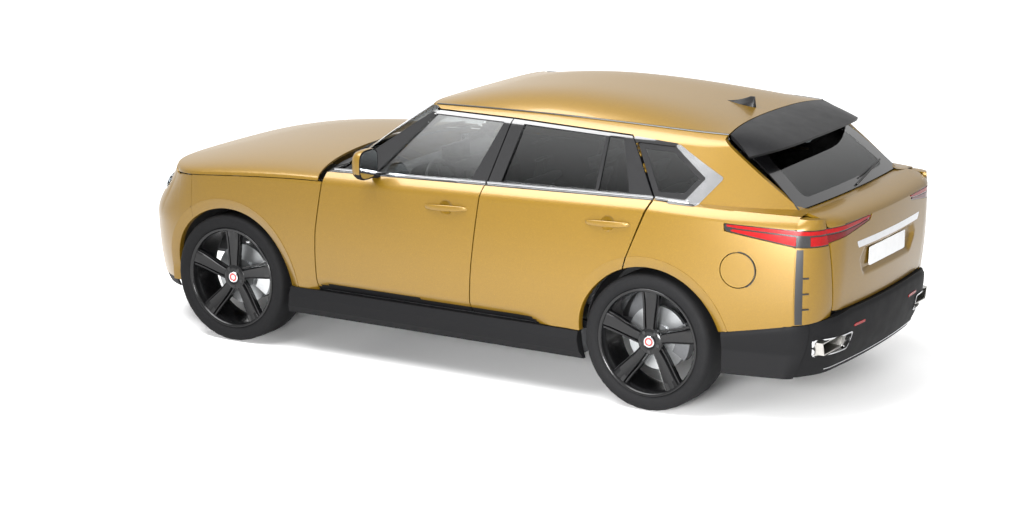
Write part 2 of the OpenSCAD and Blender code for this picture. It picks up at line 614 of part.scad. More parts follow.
rear_low_z = 288;
rear_side_n = 4;
rear_back_n = 14;
tail_corner_y = 872;
function tail_foot(z) = 95 * sq(max(0, 600 - z) / 312);
function back_point(y, v, in) =
    let (z = mix(rear_low_z, corner_foot(y) - 4 * seam, v), x = rear_x(y, 1100) + tail_foot(z) + in) [x, y * (1 - in / 900), z];
function flank_point(t, v, in) =
    let (x = mix(rear_axle_x - 457, corner_x + 40, t), z = mix(rear_low_z, bumper_line(x) - seam, v))
    [x, side_y(x, max(z, 430)) - in, z];
function rear_bumper_grid(in) = [
    for (i = [0:rear_side_n]) [for (j = [0:5]) let (p = flank_point(i / rear_side_n, j / 5, in)) [p[0], -p[1], p[2]]],
    for (i = [0:rear_back_n]) [for (j = [0:5]) back_point(tail_corner_y * (-1 + 2 * i / rear_back_n), j / 5, in)],
    for (i = [0:rear_side_n]) [for (j = [0:5]) flank_point(1 - i / rear_side_n, j / 5, in)]];
tip_outline = [[500, 425], [740, 425], [760, 500], [480, 500]];
module rear_bumper() color(black) difference() {
    sheet(rear_bumper_grid(0), rear_bumper_grid(skin_t));
    both() {
        along(grow(tip_outline, 12), tail_x - 50, tail_x + 300);
        arch_cut(rear_axle_x);
    }
}

// Sill covers, arch liners

module sill_covers() color(black) both() difference() {
    along([[900 + seat_gap, sill_low_z], [925, sill_low_z], [955, 290], [962, 360], [946, sill_top_z],
        [900 + seat_gap, sill_top_z]], rear_axle_x + 380, front_axle_x - 380);
    arch_cut(rear_axle_x, arch_r + 6);
    arch_cut(front_axle_x, arch_r + 6);
}
module arch_liner(x, r, y0, y1) difference() {
    translate([x, y0, axle_z]) rotate([-90, 0, 0]) cylinder(r = r + 6, h = y1 - y0);
    translate([x, y0 + 6, axle_z]) rotate([-90, 0, 0]) cylinder(r = r, h = 930);
    translate([x, y0 - 6, axle_z]) rotate([-90, 0, 0]) cylinder(r = 310, h = 20);
    translate([x - 600, y0 - 10, -200]) cube([1200, 1000, sill_top_z + 230]);
}
module arch_liners() color(black) both() {
    arch_liner(front_axle_x, 470, rail_out + seat_gap, 862);
    arch_liner(rear_axle_x, 458, rear_rail_out + seat_gap, 828);
}

// Platform

rail_out = 450;
rear_rail_out = 600;
floor_z = 330;
floor_t = 40;
firewall_x = 800;
heel_x = -950;
tunnel_rear_x = -530;
boot_z = 620;
sill_in = 800;
sill_out = 900;
jack_pads = [[760, 850], [-760, 850]];
module platform() color(metal) {
    translate([heel_x, -sill_in - 1, floor_z]) cube([firewall_x - heel_x + 20, 2 * sill_in + 2, floor_t]);
    translate([tunnel_rear_x, -130, floor_z]) cube([firewall_x - tunnel_rear_x, 260, 150]);
    translate([firewall_x, -780, floor_z]) cube([20, 1560, 1060 - floor_z]);
    translate([heel_x - 20, -rear_rail_out, floor_z]) cube([21, 2 * rear_rail_out, boot_z - floor_z]);
    translate([tail_x + 205, -rear_rail_out, boot_z - 40]) cube([heel_x - tail_x - 206, 2 * rear_rail_out, 40]);
    translate([tail_x + 205, -rear_rail_out, 508]) cube([31, 2 * rear_rail_out, 92]);
    translate([nose_x - 170, -620, 430]) cube([30, 1240, 120]);
    both() {
        translate([-930, sill_in, 262]) cube([1960, sill_out - sill_in, sill_top_z - 262]);
        translate([firewall_x, rail_out - 80, 420]) cube([nose_x - 150 - firewall_x, 80, 120]);
        translate([tail_x + 235, rear_rail_out - 100, 440]) cube([heel_x - tail_x - 235, 100, boot_z - 460]);
        for (p = jack_pads) translate([p[0] - 40, p[1] - 25, 240]) cube([80, 50, 23]);
        lid_lugs(bonnet_hinge, bonnet_hinge_y, 0, 110);
        translate([firewall_x, bonnet_hinge_y - 34, 980]) cube([64, 68, 60]);
    }
}

// Wheels, built about the origin with the outer face towards +Y

bead_r = rim_d / 2 - 7;
module place_wheel(x, side) translate([x, side * wheel_y, axle_z]) mirror([0, side < 0 ? 1 : 0, 0]) children();
module spin() rotate([-90, 0, 0]) rotate_extrude($fn = 96) children();
half_t = tyre_w / 2;
tyre_r = tyre_d / 2;
tyre_half = [[bead_r, 112], [rim_d / 2, 118], [rim_d / 2 + 14, half_t - 6], [rim_d / 2 + 42, half_t],
    [tyre_r - 14, half_t - 8], [tyre_r - 3, half_t - 26], [tyre_r, half_t - 58]];
module tyre() color("#161616") spin()
    polygon(concat(tyre_half, [for (i = [len(tyre_half) - 1:-1:0]) [tyre_half[i][0], -tyre_half[i][1]]]));
hub_r = 78;
lug_ring_r = 60;
lug_r = 8;
spoke_root = 62;
spoke_tip = 104;
module spoke_plan() for (i = [0:spokes - 1]) rotate(i * 360 / spokes + 90)
    polygon([[40, -spoke_root / 2], [bead_r - 8, -spoke_tip / 2 - 14], [bead_r - 8, spoke_tip / 2 - 14],
        [150, spoke_root / 2 + 4], [40, spoke_root / 2]]);
module rim() color(alloy) difference() {
    union() {
        spin() polygon([[bead_r - 16, -126], [bead_r + 6, -126], [bead_r + 6, -119.5], [bead_r - seat_gap, -113],
            [bead_r - seat_gap, 113], [bead_r + 6, 119.5], [bead_r + 6, 126], [bead_r - 10, 126], [bead_r - 16, 100]]);
        intersection() {
            rotate([-90, 0, 0]) linear_extrude(130) spoke_plan();
            spin() polygon([[40, 40], [bead_r - 10, 62], [bead_r - 10, 114], [130, 92], [40, 84]]);
        }
        rotate([-90, 0, 0]) cylinder(r = hub_r, h = 82);
    }
    rotate([-90, 0, 0]) translate([0, 0, -1]) cylinder(r = stub_r + pin_gap, h = 61);
    for (i = [0:4]) rotate([0, i * 72, 0]) translate([0, 40, lug_ring_r]) rotate([-90, 0, 0]) cylinder(r = lug_r, h = 60);
}
module brake_disc() color(metal) spin() {
    translate([stub_r + pin_gap, -14]) square([64, 14 - seat_gap]);
    translate([78, -40]) square([10, 40 - seat_gap]);
    translate([80, -40]) square([disc_d / 2 - 80, 26]);
}
module caliper() difference() {
    rotate([0, -32, 0]) rotate([-90, 0, 0]) translate([0, 0, -72]) rotate_extrude(angle = 64)
        translate([120, 0]) square([disc_d / 2 - 98, 72]);
    rotate([-90, 0, 0]) translate([0, 0, -46]) cylinder(r = disc_d / 2 + 6, h = 38);
}
kingpin_y = -68;
kingpin_r = 14;
kingpin_h = 400;
eye_z = 175;
module hub_carrier() {
    translate([-45, -100, -130]) cube([90, 54, 260]);
    rotate([90, 0, 0]) translate([0, 0, -56]) cylinder(r = stub_r, h = 120);
    translate([-130, -100, -50]) cube([90, 34, 100]);
    mirror([1, 0, 0]) caliper();
}
module knuckle() color(metal) {
    hub_carrier();
    translate([0, kingpin_y, -kingpin_h / 2]) cylinder(r = kingpin_r, h = kingpin_h);
}
module suspension_arm(z, y0) difference() {
    union() {
        translate([front_axle_x, wheel_y + kingpin_y, axle_z + z - 15]) cylinder(r = 22, h = 30);
        translate([front_axle_x - 24, y0, axle_z + z - 14]) cube([48, wheel_y + kingpin_y - y0, 28]);
    }
    translate([front_axle_x, wheel_y + kingpin_y, axle_z + z - 40]) cylinder(r = kingpin_r + pin_gap, h = 80);
}
module front_subframe() color(trim) {
    translate([front_axle_x - 150, -440, 205]) cube([300, 880, 70]);
    both() {
        translate([front_axle_x - 40, rail_out - 150, 205]) cube([80, 70 - seat_gap, 400]);
        suspension_arm(-eye_z, 400);
        suspension_arm(eye_z, rail_out - 120);
    }
}
module rear_axle() color(trim) {
    translate([rear_axle_x - 120, -rear_rail_out + 1, 330]) cube([240, 2 * rear_rail_out - 2, 110 - seat_gap]);
    for (s = [-1, 1]) place_wheel(rear_axle_x, s) {
        hub_carrier();
        translate([-40, -300, -60]) cube([80, 260, 40]);
    }
}

// Power unit and exhaust

module engine_block() color(metal) translate([front_axle_x - 330, -260, 275 + seat_gap]) cube([600, 520, 640]);
module exhaust() color(metal) {
    translate([900, 0, 262]) rotate([0, -90, 0]) cylinder(r = 30, h = 2900);
    translate([-2230, -470, 284]) cube([270, 940, 156 - seat_gap]);
    both() {
        difference() {
            along(tip_outline, tail_x + 75, tail_x + 225);
            along(grow(tip_outline, -6), tail_x + 60, tail_x + 215);
        }
        translate([tail_x + 200, 430, 380]) cube([60, 260, 60 - seat_gap]);
    }
}

// Cabin

module dashboard() color(trim) difference() {
    across([[430, 700], [firewall_x - seat_gap, 660], [firewall_x - seat_gap, 1040], [700, 1120], [520, 1090], [450, 960]],
        -720, 720);
    column(14 + pin_gap, 10);
}
wheel_tilt = 22;
hand_wheel_r = 180;
boss_r = 62;
column_at = [330, 380, 1010];
module column(r, extra) translate(column_at) rotate([0, 90 + wheel_tilt, 0]) cylinder(r = r, h = 260 + extra);
module steering_wheel() color(black) {
    translate(column_at) rotate([0, 90 + wheel_tilt, 0]) {
        rotate_extrude($fn = 64) translate([hand_wheel_r, 0]) circle(r = 15);
        translate([0, 0, -12]) cylinder(r = boss_r, h = 48);
        for (a = [60, 180, 300]) rotate(a) translate([boss_r - 20, -16, -6]) cube([hand_wheel_r - boss_r + 20, 32, 12]);
    }
    column(14, 0);
}
front_seat_side = [[60, 370 + seat_gap], [180, 370 + seat_gap], [200, 470], [290, 500], [330, 560], [300, 630], [-120, 600], [-330, 1180],
    [-300, 1250], [-330, 1400], [-400, 1410], [-420, 1250], [-380, 1180], [-260, 700], [-270, 480], [-160, 430], [-150, 370 + seat_gap]];
rear_seat_side = [[-560, 370 + seat_gap], [-540, 600], [-580, 655], [-950, 665], [-1130, 1150],
    [-1110, 1220], [-1140, 1350], [-1200, 1350], [-1230, 1200], [-1090, 700], [-1000, 630], [-925, 630],
    [-925, 370 + seat_gap]];
module front_seats() color(trim) both() across(front_seat_side, 150, 640);
module rear_seat() color(trim) across(rear_seat_side, -585, 585);

platform();
cabin_frame();
body_side();  // body_side_left
mirror([0, 1, 0]) body_side();  // body_side_right
front_wing();  // front_wing_left
mirror([0, 1, 0]) front_wing();  // front_wing_right
bonnet();
roof_panel();
front_bumper();
rear_bumper();
rear_corners();
tailgate();
tailgate_glass();
spoiler();
front_door();  // front_door_left
mirror([0, 1, 0]) front_door();  // front_door_right
rear_door();  // rear_door_left
mirror([0, 1, 0]) rear_door();  // rear_door_right
front_glass();  // front_glass_left
mirror([0, 1, 0]) front_glass();  // front_glass_right
rear_glass();  // rear_glass_left
mirror([0, 1, 0]) rear_glass();  // rear_glass_right
quarter_glass();
windscreen();
door_mirror();  // mirror_left
mirror([0, 1, 0]) door_mirror();  // mirror_right
headlamps();
grille();
tail_lamps();
tailgate_lamps();
sill_covers();
arch_liners();
cowl();
place_wheel(front_axle_x, 1) tyre();  // tyre_front_left
place_wheel(front_axle_x, -1) tyre();  // tyre_front_right
place_wheel(rear_axle_x, 1) tyre();  // tyre_rear_left
place_wheel(rear_axle_x, -1) tyre();  // tyre_rear_right
place_wheel(front_axle_x, 1) rim();  // rim_front_left
place_wheel(front_axle_x, -1) rim();  // rim_front_right
place_wheel(rear_axle_x, 1) rim();  // rim_rear_left
place_wheel(rear_axle_x, -1) rim();  // rim_rear_right
place_wheel(front_axle_x, 1) brake_disc();  // disc_front_left
place_wheel(front_axle_x, -1) brake_disc();  // disc_front_right
place_wheel(rear_axle_x, 1) brake_disc();  // disc_rear_left
place_wheel(rear_axle_x, -1) brake_disc();  // disc_rear_right
place_wheel(front_axle_x, 1) knuckle();  // knuckle_left
place_wheel(front_axle_x, -1) knuckle();  // knuckle_right
rear_axle();
front_subframe();
engine_block();
exhaust();
dashboard();
steering_wheel();
front_seats();
rear_seat();
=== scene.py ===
"""Sport utility car: panels, glass, lamps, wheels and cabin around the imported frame.

Millimetres in the formulas, metres in the meshes. +X forward, +Y to the left, +Z up.
"""
import math

import bpy
import numpy as np
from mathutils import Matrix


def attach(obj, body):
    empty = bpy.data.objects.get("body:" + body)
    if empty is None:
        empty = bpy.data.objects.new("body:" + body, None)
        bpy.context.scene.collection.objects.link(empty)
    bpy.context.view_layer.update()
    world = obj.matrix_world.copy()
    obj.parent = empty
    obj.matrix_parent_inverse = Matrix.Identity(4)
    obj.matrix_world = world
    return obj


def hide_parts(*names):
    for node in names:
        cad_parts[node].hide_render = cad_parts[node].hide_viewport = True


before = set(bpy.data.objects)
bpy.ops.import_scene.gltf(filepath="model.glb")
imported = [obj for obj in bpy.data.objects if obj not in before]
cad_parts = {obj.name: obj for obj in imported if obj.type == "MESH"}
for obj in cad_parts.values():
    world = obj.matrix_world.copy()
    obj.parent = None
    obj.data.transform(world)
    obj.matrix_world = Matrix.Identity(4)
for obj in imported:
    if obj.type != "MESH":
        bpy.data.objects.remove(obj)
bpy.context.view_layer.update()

bl_info = {
    "name": "Sport utility car",
    "version": (1, 0, 0),
    "blender": (4, 5, 0),
    "location": "View3D > Sidebar > Car",
    "description": "Panels, glass, lamps, wheels and cabin of a sport utility car",
    "category": "Object",
}

MM = 0.001

# Places and sizes of the body, as in the part's source
NOSE_X, TAIL_X = 2469.0, -2470.0
FRONT_AXLE, REAR_AXLE = 1565.0, -1385.0
WHEEL_Y, AXLE_Z = 827.5, 406.0
HALF_W = 985.0
SILL_TOP = 412.0
FULLEST_Z, CANT_Z, EDGE_Z, ROOF_Z = 760.0, 1545.0, 1612.0, 1714.0
SHOULDER = 70.0
LEDGE = 10.0
FRONT_CORNER, REAR_TAPER = 1700.0, -1300.0
CORNER_X, WING_FRONT = -2256.0, 1840.0
ARCH_R, ARCH_LIP = 450.0, 62.0
GAP, HINGE_GAP, SEAM = 5.0, 7.5, 0.6
DOOR_EDGE = 45.0
BUMPER_LOW, REAR_LOW = 268.0, 288.0
FRAME_TOP = 1571.0
DOOR_LOW = SILL_TOP + GAP + SEAM
GATE_LOW, GATE_TOP = 652.0, 1160.0
GLASS_FOOT = (TAIL_X + 238, 1224.0)
ROOF_SEAM, HEADER_X = -1726.0, 232.0
GLASS_TOP_Z = 1571.4
BUMPER_TOP = 1000.0
LID_GAP = 9.0
BUMPER_GAP = 2.4
PLAN_Z = 1100.0
GLASS_OUT, SCREEN_OUT = np.array([-0.63, 0, 0.78]), np.array([0.5, 0, 0.85])

# The photograph's camera, in metres
CAMERA_AT, CAMERA_AIM = (-8.258, 13.969, 4.516), (0.079, 0.0, 0.535)
CAMERA_LENS, CAMERA_SENSOR = 93.8, 36.0


def sq(t):
    """Square."""
    return t * t


def mix(a, b, t):
    """Straight line from a to b by the share t."""
    return a + (b - a) * t


def ease(t):
    """Smooth step: 3t^2 - 2t^3 on t held between 0 and 1."""
    s = np.clip(t, 0, 1)
    return s * s * (3 - 2 * s)


def points(*xs):
    """Coordinates of any shapes stacked into one array of points."""
    return np.stack(np.broadcast_arrays(*xs), -1).astype(float)


def hex_rgb(text):
    """Linear colour from an sRGB hex value."""
    s = np.array([int(text[k:k + 2], 16) for k in (1, 3, 5)]) / 255
    lin = np.where(s <= 0.04045, s / 12.92, ((s + 0.055) / 1.055) ** 2.4)
    return (*(float(c) for c in lin), 1.0)


# The body surface

def nose_at(z):
    """Nose position at a height: leans back by a smooth step above 690 mm and by a parabola below 520 mm."""
    return NOSE_X - 225 * ease((z - 690) / 360) - 7 * sq(np.maximum(0, 520 - z) / 220)


def half_width(x, z):
    """Half width: a superellipse of power 2.5 round the front corner, a parabola in towards the tail."""
    s = np.maximum(0, x - FRONT_CORNER) / (nose_at(z) - FRONT_CORNER)
    front = HALF_W * np.maximum(0, 1 - s ** 2.5) ** 0.4
    rear = HALF_W - 126 * sq(np.maximum(0, REAR_TAPER - x) / 1000)
    return np.where(x > FRONT_CORNER, front, rear)


def belt(x):
    """Height of the waistline: a straight fall towards the nose, turning down behind the rear axle."""
    return 1188 - 0.0325 * np.maximum(x, REAR_AXLE) - 19 * np.maximum(0, REAR_AXLE - x) / 1000


def fall(z):
    """How far the side falls in below and above its fullest height: two parabolas."""
    return np.where(z < FULLEST_Z, 45, 18) * sq((z - FULLEST_Z) / 340)


def undercut(x, z):
    """Scoop along the foot of the doors: a product of three smooth steps."""
    return 45 * ease((500 - z) / 110) * ease((x + 760) / 240) * ease((FRONT_AXLE - 560 - x) / 200)


def low_side(x, z):
    """Side below the waist: half width less the fall and the scoop, turned in over the shoulder."""
    s = belt(x) - SHOULDER
    turn = 50 * (np.maximum(0, z - s) / SHOULDER) ** 1.6
    return half_width(x, z) - fall(np.minimum(z, s)) - undercut(x, z) - turn


def high_side(x, z):
    """Greenhouse: leans in with height, tapers to the tail and turns over the cant rail."""
    b = belt(x)
    taper = 110 * sq(np.maximum(0, -1500 - x) / 700)
    turn = 60 * (np.maximum(0, z - CANT_Z) / 67) ** 1.5
    return half_width(x, z) - fall(b - SHOULDER) - 70 - taper - 0.466 * (z - b) - turn


def side_y(x, z):
    """Whole side: the lower part, a ledge a few millimetres high at the waist, and the greenhouse."""
    b = belt(x)
    f = np.clip((z - b) / LEDGE, 0, 1)
    return mix(low_side(x, np.minimum(z, b)), high_side(x, np.maximum(z, b + LEDGE)), f)


def edge_z(x):
    """Height of the roof's outer edge."""
    return EDGE_Z - 10 * sq((x + 800) / 900)


def crown_z(x):
    """Height of the roof along the middle: a parabola, steeper in front of its top."""
    return ROOF_Z - np.where(x < -650, 82, 135) * sq((x + 650) / 1000)


def roof_point(u, w, drop=0.0):
    """Roof: u from the rear seam to the header, w across it, flat in the middle by |w| to the power 4.5."""
    bow = 1 - w * w
    x = mix(ROOF_SEAM + 50 * bow, HEADER_X + 120 * bow, u)
    y = w * (side_y(x, edge_z(x)) - 4)
    return points(x, y, edge_z(x) + (crown_z(x) - edge_z(x)) * (1 - np.abs(w) ** 4.5) - drop)


def cowl_point(w):
    """Foot of the windscreen: a parabola across the car."""
    return points(800 + 155 * (1 - w * w), w * 800, 1168 + 22 * (1 - w * w))


def screen_point(u, w):
    """Windscreen: straight from the cowl to the header, bulged by u(1-u)."""
    top = roof_point(1.0, w) + np.array([3.2, 0, -1])
    bulge = (30 * u * (1 - u))[..., None] * SCREEN_OUT
    return mix(cowl_point(w), top, u[..., None]) + bulge


def bonnet_line(x):
    """Side edge of the bonnet."""
    return 1108 - 68 * (np.maximum(0, x - 880) / 1020) ** 1.4 - 60 * ease((x - 2000) / 450)


def bonnet_front(y):
    """Front edge of the bonnet: the nose's superellipse in plan."""
    return mix(FRONT_CORNER, nose_at(1010.0) - 12, (1 - (np.abs(y) / 980) ** 2.5) ** 0.4)


def bonnet_point(u, w, drop=0.0):
    """Bonnet: u from the screen to the nose, w across, a superellipse of power 2.6 over its edges."""
    edge_x = mix(880.0, bonnet_front(860.0), u)
    low = bonnet_line(edge_x)
    x = mix(880 + 155 * (1 - w * w), bonnet_front(w * 860), u)
    arc = np.maximum(0, 1 - np.abs(w) ** 2.6) ** (1 / 2.6)
    crown = 1192 - 132 * sq((x - 955) / 1245)
    return points(x, w * (side_y(edge_x, low) - drop * 0.5), low + (crown - low) * arc - drop * arc)


def bumper_top(x, y):
    """Upper edge of the front bumper: under the bonnet's front edge, then under its sides."""
    tip_x = bonnet_front(860.0)
    tip_y = side_y(tip_x, bonnet_line(tip_x))
    ahead = bonnet_point(1.0, np.minimum(1, np.abs(y) / tip_y), 14.0)[..., 2]
    return np.where(x < tip_x - 60, bonnet_line(x), ahead) - 8


def bumper_point(t, v, inset=0.0):
    """Nose: a superellipse in plan at each height, t from side to side, v from the foot to the bonnet."""
    z0 = mix(BUMPER_LOW, BUMPER_TOP, v)
    reach = nose_at(z0) - 24 * sq(np.maximum(0, 350 - z0) / 82) - inset - FRONT_CORNER
    a = np.arccos(((WING_FRONT - FRONT_CORNER) / reach) ** 1.25) * np.abs(t)
    out = np.sin(a) ** 0.8
    x = FRONT_CORNER + reach * np.cos(a) ** 0.8
    z = mix(BUMPER_LOW, bumper_top(x, HALF_W * out), v)
    return points(x, np.sign(t) * ((HALF_W - inset) * out - fall(z) * np.sin(a)), z)


def bumper_place(p, rounds=8):
    """Place (t, v) on the nose of points (y, z) in front view, by halving t and putting v right in turn."""
    y, z = np.abs(p[:, 0]), p[:, 1]
    v = (z - BUMPER_LOW) / (BUMPER_TOP - BUMPER_LOW)
    for _ in range(rounds):
        lo, hi = np.zeros(len(p)), np.ones(len(p))
        for _ in range(20):
            t = (lo + hi) / 2
            short = bumper_point(t, v)[:, 1] < y
            lo, hi = np.where(short, t, lo), np.where(short, hi, t)
        top = bumper_point(t, np.ones(len(p)))[:, 2]
        v = (z - BUMPER_LOW) / (top - BUMPER_LOW)
    return np.stack([t * np.sign(p[:, 0]), v], 1)


def rear_x(y, z):
    """Tail in plan and profile: parabolas in height and width, and a quicker turn at the corners."""
    turn = 150 * sq(np.clip((np.abs(y) - 560) / 310, 0, 1))
    return TAIL_X + 2 + 28 * sq((z - 1100) / 400) + 45 * sq(y / 720) + turn


def gate_half(z):
    """Half width of the tailgate."""
    return mix(636.0, 722.0, np.clip((z - 700) / 500, 0, 1))


def gate_foot(w):
    """Lower edge of the tailgate, turned up at its corners."""
    return GATE_LOW + 12 * np.abs(w) ** 12


def glass_point(t, w):
    """Rear glass: from its foot to under the spoiler, bulged by t(1-t)."""
    bow = 1 - w * w
    foot = points(GLASS_FOOT[0] + 30 * w * w, 690 * w, GLASS_FOOT[1])
    top = points(ROOF_SEAM - LID_GAP - 3 - 30 * bow, 596 * w, GLASS_TOP_Z + 16 * bow)
    bulge = (60 * t * (1 - t))[..., None] * GLASS_OUT
    return mix(foot, top, t[..., None]) + bulge


def spoiler_top(u, w):
    """Spoiler's upper face: from the roof's seam to an edge that turns forward and down at its ends by |w| to the 8."""
    turn = np.abs(w) ** 8
    edge = points(-2040 + 30 * w * w + 130 * turn, 690 * w, 1540 - 6 * w * w - 36 * turn)
    p = mix(roof_point(0.0, w) - np.array([LID_GAP, 0, 0]), edge, u[..., None])
    return p + points(0 * u, 0 * u, 40 * u * (1 - u))


def spoiler_low(u, w):
    """Spoiler's lower face: on the glass at its front, thin behind, and closed down to the glass at its ends."""
    top = spoiler_top(u, w)
    drop = points(0 * u, 0 * u, mix(24.0, 12.0, u))
    on_glass = glass_point(1 - 0.125 * np.clip(u / 0.2, 0, 1), w)
    thin = np.where((u <= 0.2)[..., None], on_glass, top - drop)
    deep = np.where((u <= 0.6)[..., None], glass_point(1 - 0.2 * np.clip(u / 0.6, 0, 1), w), top - (0, 0, 12.0))
    p = mix(thin, deep, ease((np.abs(w) - 0.78) / 0.22)[..., None])
    return points(p[..., 0], top[..., 1] * 0.985, np.minimum(p[..., 2], top[..., 2] - 6))


def corner_foot(y):
    """Upper edge of the rear bumper."""
    return 646 - 42 * ease((np.abs(y) - 450) / 420)


def bumper_line(x):
    """Upper edge of the rear bumper along the side."""
    return mix(604.0, 526.0, (x - CORNER_X) / (REAR_AXLE - 455 - CORNER_X))


def corner_point(s, z):
    """Rear corner panel: s from the side to the tailgate, bulged outwards by s(1-s)."""
    a = points(CORNER_X - SEAM, side_y(CORNER_X, z), z)
    yb = gate_half(z) + GAP + 4
    b = points(rear_x(yb, z), yb, z)
    return mix(a, b, s[..., None]) + (120 * s * (1 - s))[..., None] * np.array([-0.75, 0.66, 0])


# Outlines in side view (x, z)

B_LOW, B_WAIST, B_TOP = (-187, DOOR_LOW), (-274, 1197), (-352, FRAME_TOP - 2)
A_FOOT, A_MID, A_WAIST = (904, DOOR_LOW), (886, 800), (836, 1158)
C_ARCH, C_WAIST, C_TOP = (-1220, 815), (-1387, 1230), (-1168, FRAME_TOP - 18)
FRONT_WINDOW = [(-166, 1212), (507, 1176), (174, 1553), (-304, 1550)]
REAR_WINDOW = [(-1224, 1250), (-373, 1226), (-441, 1551), (-1115, 1537)]
QUARTER_WINDOW = [(-1576, 1248), (-1386, 1240), (-1200, 1527), (-1455, 1525), (-1672, 1372)]
LAMP_GATE = [(742, 1061), (742, 1151), (274, 1161.5), (300, 1127)]
FRAME_DEPTH = 75.0
HANDLES = [(-46, 1050), (-1133, 1083)]
SCOOP_R = 46.0
FLAP, FLAP_R = (REAR_AXLE - 554, 900.0), 98.0
MIRROR = (452.0, 1168.0)
GRILLE = [(470, 641), (560, 758), (520, 905), (-520, 905), (-560, 758), (-470, 641)]
INTAKE = [(430, 330), (500, 429), (440, 520), (-440, 520), (-500, 429), (-430, 330)]
HEADLAMP = [(570, 892), (790, 870), (805, 953), (600, 964)]


def shifted(p, dx):
    """A point moved towards the tail."""
    return (p[0] - dx, p[1])


# Grids, cut sheets and swept pieces

def dense(outline, step):
    """An outline with points no further apart than a step along each side."""
    a = np.asarray(outline, float)
    b = np.roll(a, -1, 0)
    n = np.maximum(1, np.ceil(np.linalg.norm(b - a, axis=1) / step)).astype(int)
    k = np.repeat(np.arange(len(a)), n)
    t = (np.arange(len(k)) - np.repeat(np.cumsum(n) - n, n)) / n[k]
    return mix(a[k], b[k], t[:, None])


def line(ends, n):
    """n points along a polyline, evenly by length."""
    p = np.asarray(ends, float)
    s = np.concatenate([[0], np.cumsum(np.linalg.norm(np.diff(p, axis=0), axis=1))])
    t = np.linspace(0, s[-1], n)
    return np.stack([np.interp(t, s, p[:, k]) for k in range(p.shape[1])], 1)


def rounded(outline, r, n=6):
    """An outline with each corner replaced by a quadratic curve that starts r before it and ends r after it."""
    p = np.asarray(outline, float)
    a, c = np.roll(p, 1, 0) - p, np.roll(p, -1, 0) - p
    la, lc = np.linalg.norm(a, axis=1, keepdims=True), np.linalg.norm(c, axis=1, keepdims=True)
    a, c = a / la * np.minimum(r, la * 0.45), c / lc * np.minimum(r, lc * 0.45)
    t = np.linspace(0, 1, n)[None, :, None]
    return (p[:, None] + a[:, None] * sq(1 - t) + c[:, None] * sq(t)).reshape(-1, 2)


def grown(outline, d):
    """An outline that runs anticlockwise, moved outwards by d at right angles to its sides."""
    p = np.asarray(outline, float)
    u = p - np.roll(p, 1, 0)
    v = np.roll(p, -1, 0) - p
    u, v = (e / np.linalg.norm(e, axis=1, keepdims=True) for e in (u, v))
    nu, nv = (np.stack([e[:, 1], -e[:, 0]], 1) for e in (u, v))
    return p + d * (nu + nv) / (1 + (nu * nv).sum(1, keepdims=True))


def arc(axle_x, r, a0, a1, n):
    """n points of a circle about an axle in side view, between two angles in radians."""
    a = np.linspace(a0, a1, n)
    return np.stack([axle_x + r * np.cos(a), AXLE_Z + r * np.sin(a)], 1)


def circle(at, r, n=64):
    """Circle in side view, anticlockwise."""
    a = np.linspace(0, 2 * math.pi, n, endpoint=False)
    return np.stack([at[0] + r * np.cos(a), at[1] + r * np.sin(a)], 1)


def inside(poly, p):
    """Crossing test: a point is inside where a line to the right crosses the outline an odd number of times."""
    a, b = poly, np.roll(poly, -1, 0)
    v = p[:, None, 1]
    crosses = (a[:, 1] > v) != (b[:, 1] > v)
    rise = np.where(b[:, 1] == a[:, 1], 1.0, b[:, 1] - a[:, 1])
    u = a[:, 0] + (v - a[:, 1]) * (b[:, 0] - a[:, 0]) / rise
    return (crosses & (p[:, None, 0] < u)).sum(1) % 2 == 1


def nearest(poly, p):
    """Nearest point of an outline to each point, by the foot of the perpendicular on each side, and its distance."""
    d = np.roll(poly, -1, 0) - poly
    t = ((p[:, None] - poly) * d).sum(2) / np.maximum((d * d).sum(1), 1e-12)
    foot = poly + np.clip(t, 0, 1)[..., None] * d
    gap = sq(foot - p[:, None]).sum(2)
    k, rows = gap.argmin(1), np.arange(len(p))
    return foot[rows, k], np.sqrt(gap[rows, k])


def cut_cells(outline, holes=()):
    """Cells of a unit grid inside an outline and outside its holes.

    Points within half a cell of an edge are drawn onto it. A cell that then lies astride an edge has two opposite
    corners on it, and is split between them. Returns the points and the faces, a triangle with its last corner twice.
    """
    lo, hi = np.floor(outline.min(0)) - 1, np.ceil(outline.max(0)) + 1
    n, m = (hi - lo + 1).astype(int)
    gi, gj = np.meshgrid(lo[0] + np.arange(n), lo[1] + np.arange(m), indexing="ij")
    p = np.stack([gi.ravel(), gj.ravel()], 1)
    state = np.ones(len(p), int)
    for poly, sign in [(outline, 1)] + [(h, -1) for h in holes]:
        foot, gap = nearest(poly, p)
        within = np.where(inside(poly, p), sign, -sign)
        on = (gap < 0.5001) & (state == 1)
        state = np.where(on, 0, np.where((within < 0) & ~((state == 0) & (gap < 1e-6)), -1, state))
        p = np.where(on[:, None], foot, p)
    cells = grid_faces(n, m)
    s = state[cells]
    faces = [cells[(s >= 0).all(1)]]
    for a, b, c, d in ((0, 1, 2, 3), (1, 2, 3, 0)):
        astride = (s[:, a] == 0) & (s[:, c] == 0) & (s.min(1) < 0)
        faces += [cells[astride & (s[:, b] >= 0)][:, [a, b, c, c]], cells[astride & (s[:, d] >= 0)][:, [a, c, d, d]]]
    f = np.concatenate(faces)
    mid = p[f].mean(1)
    keep = inside(outline, mid)
    for h in holes:
        keep &= ~inside(h, mid)
    return p, f[keep]


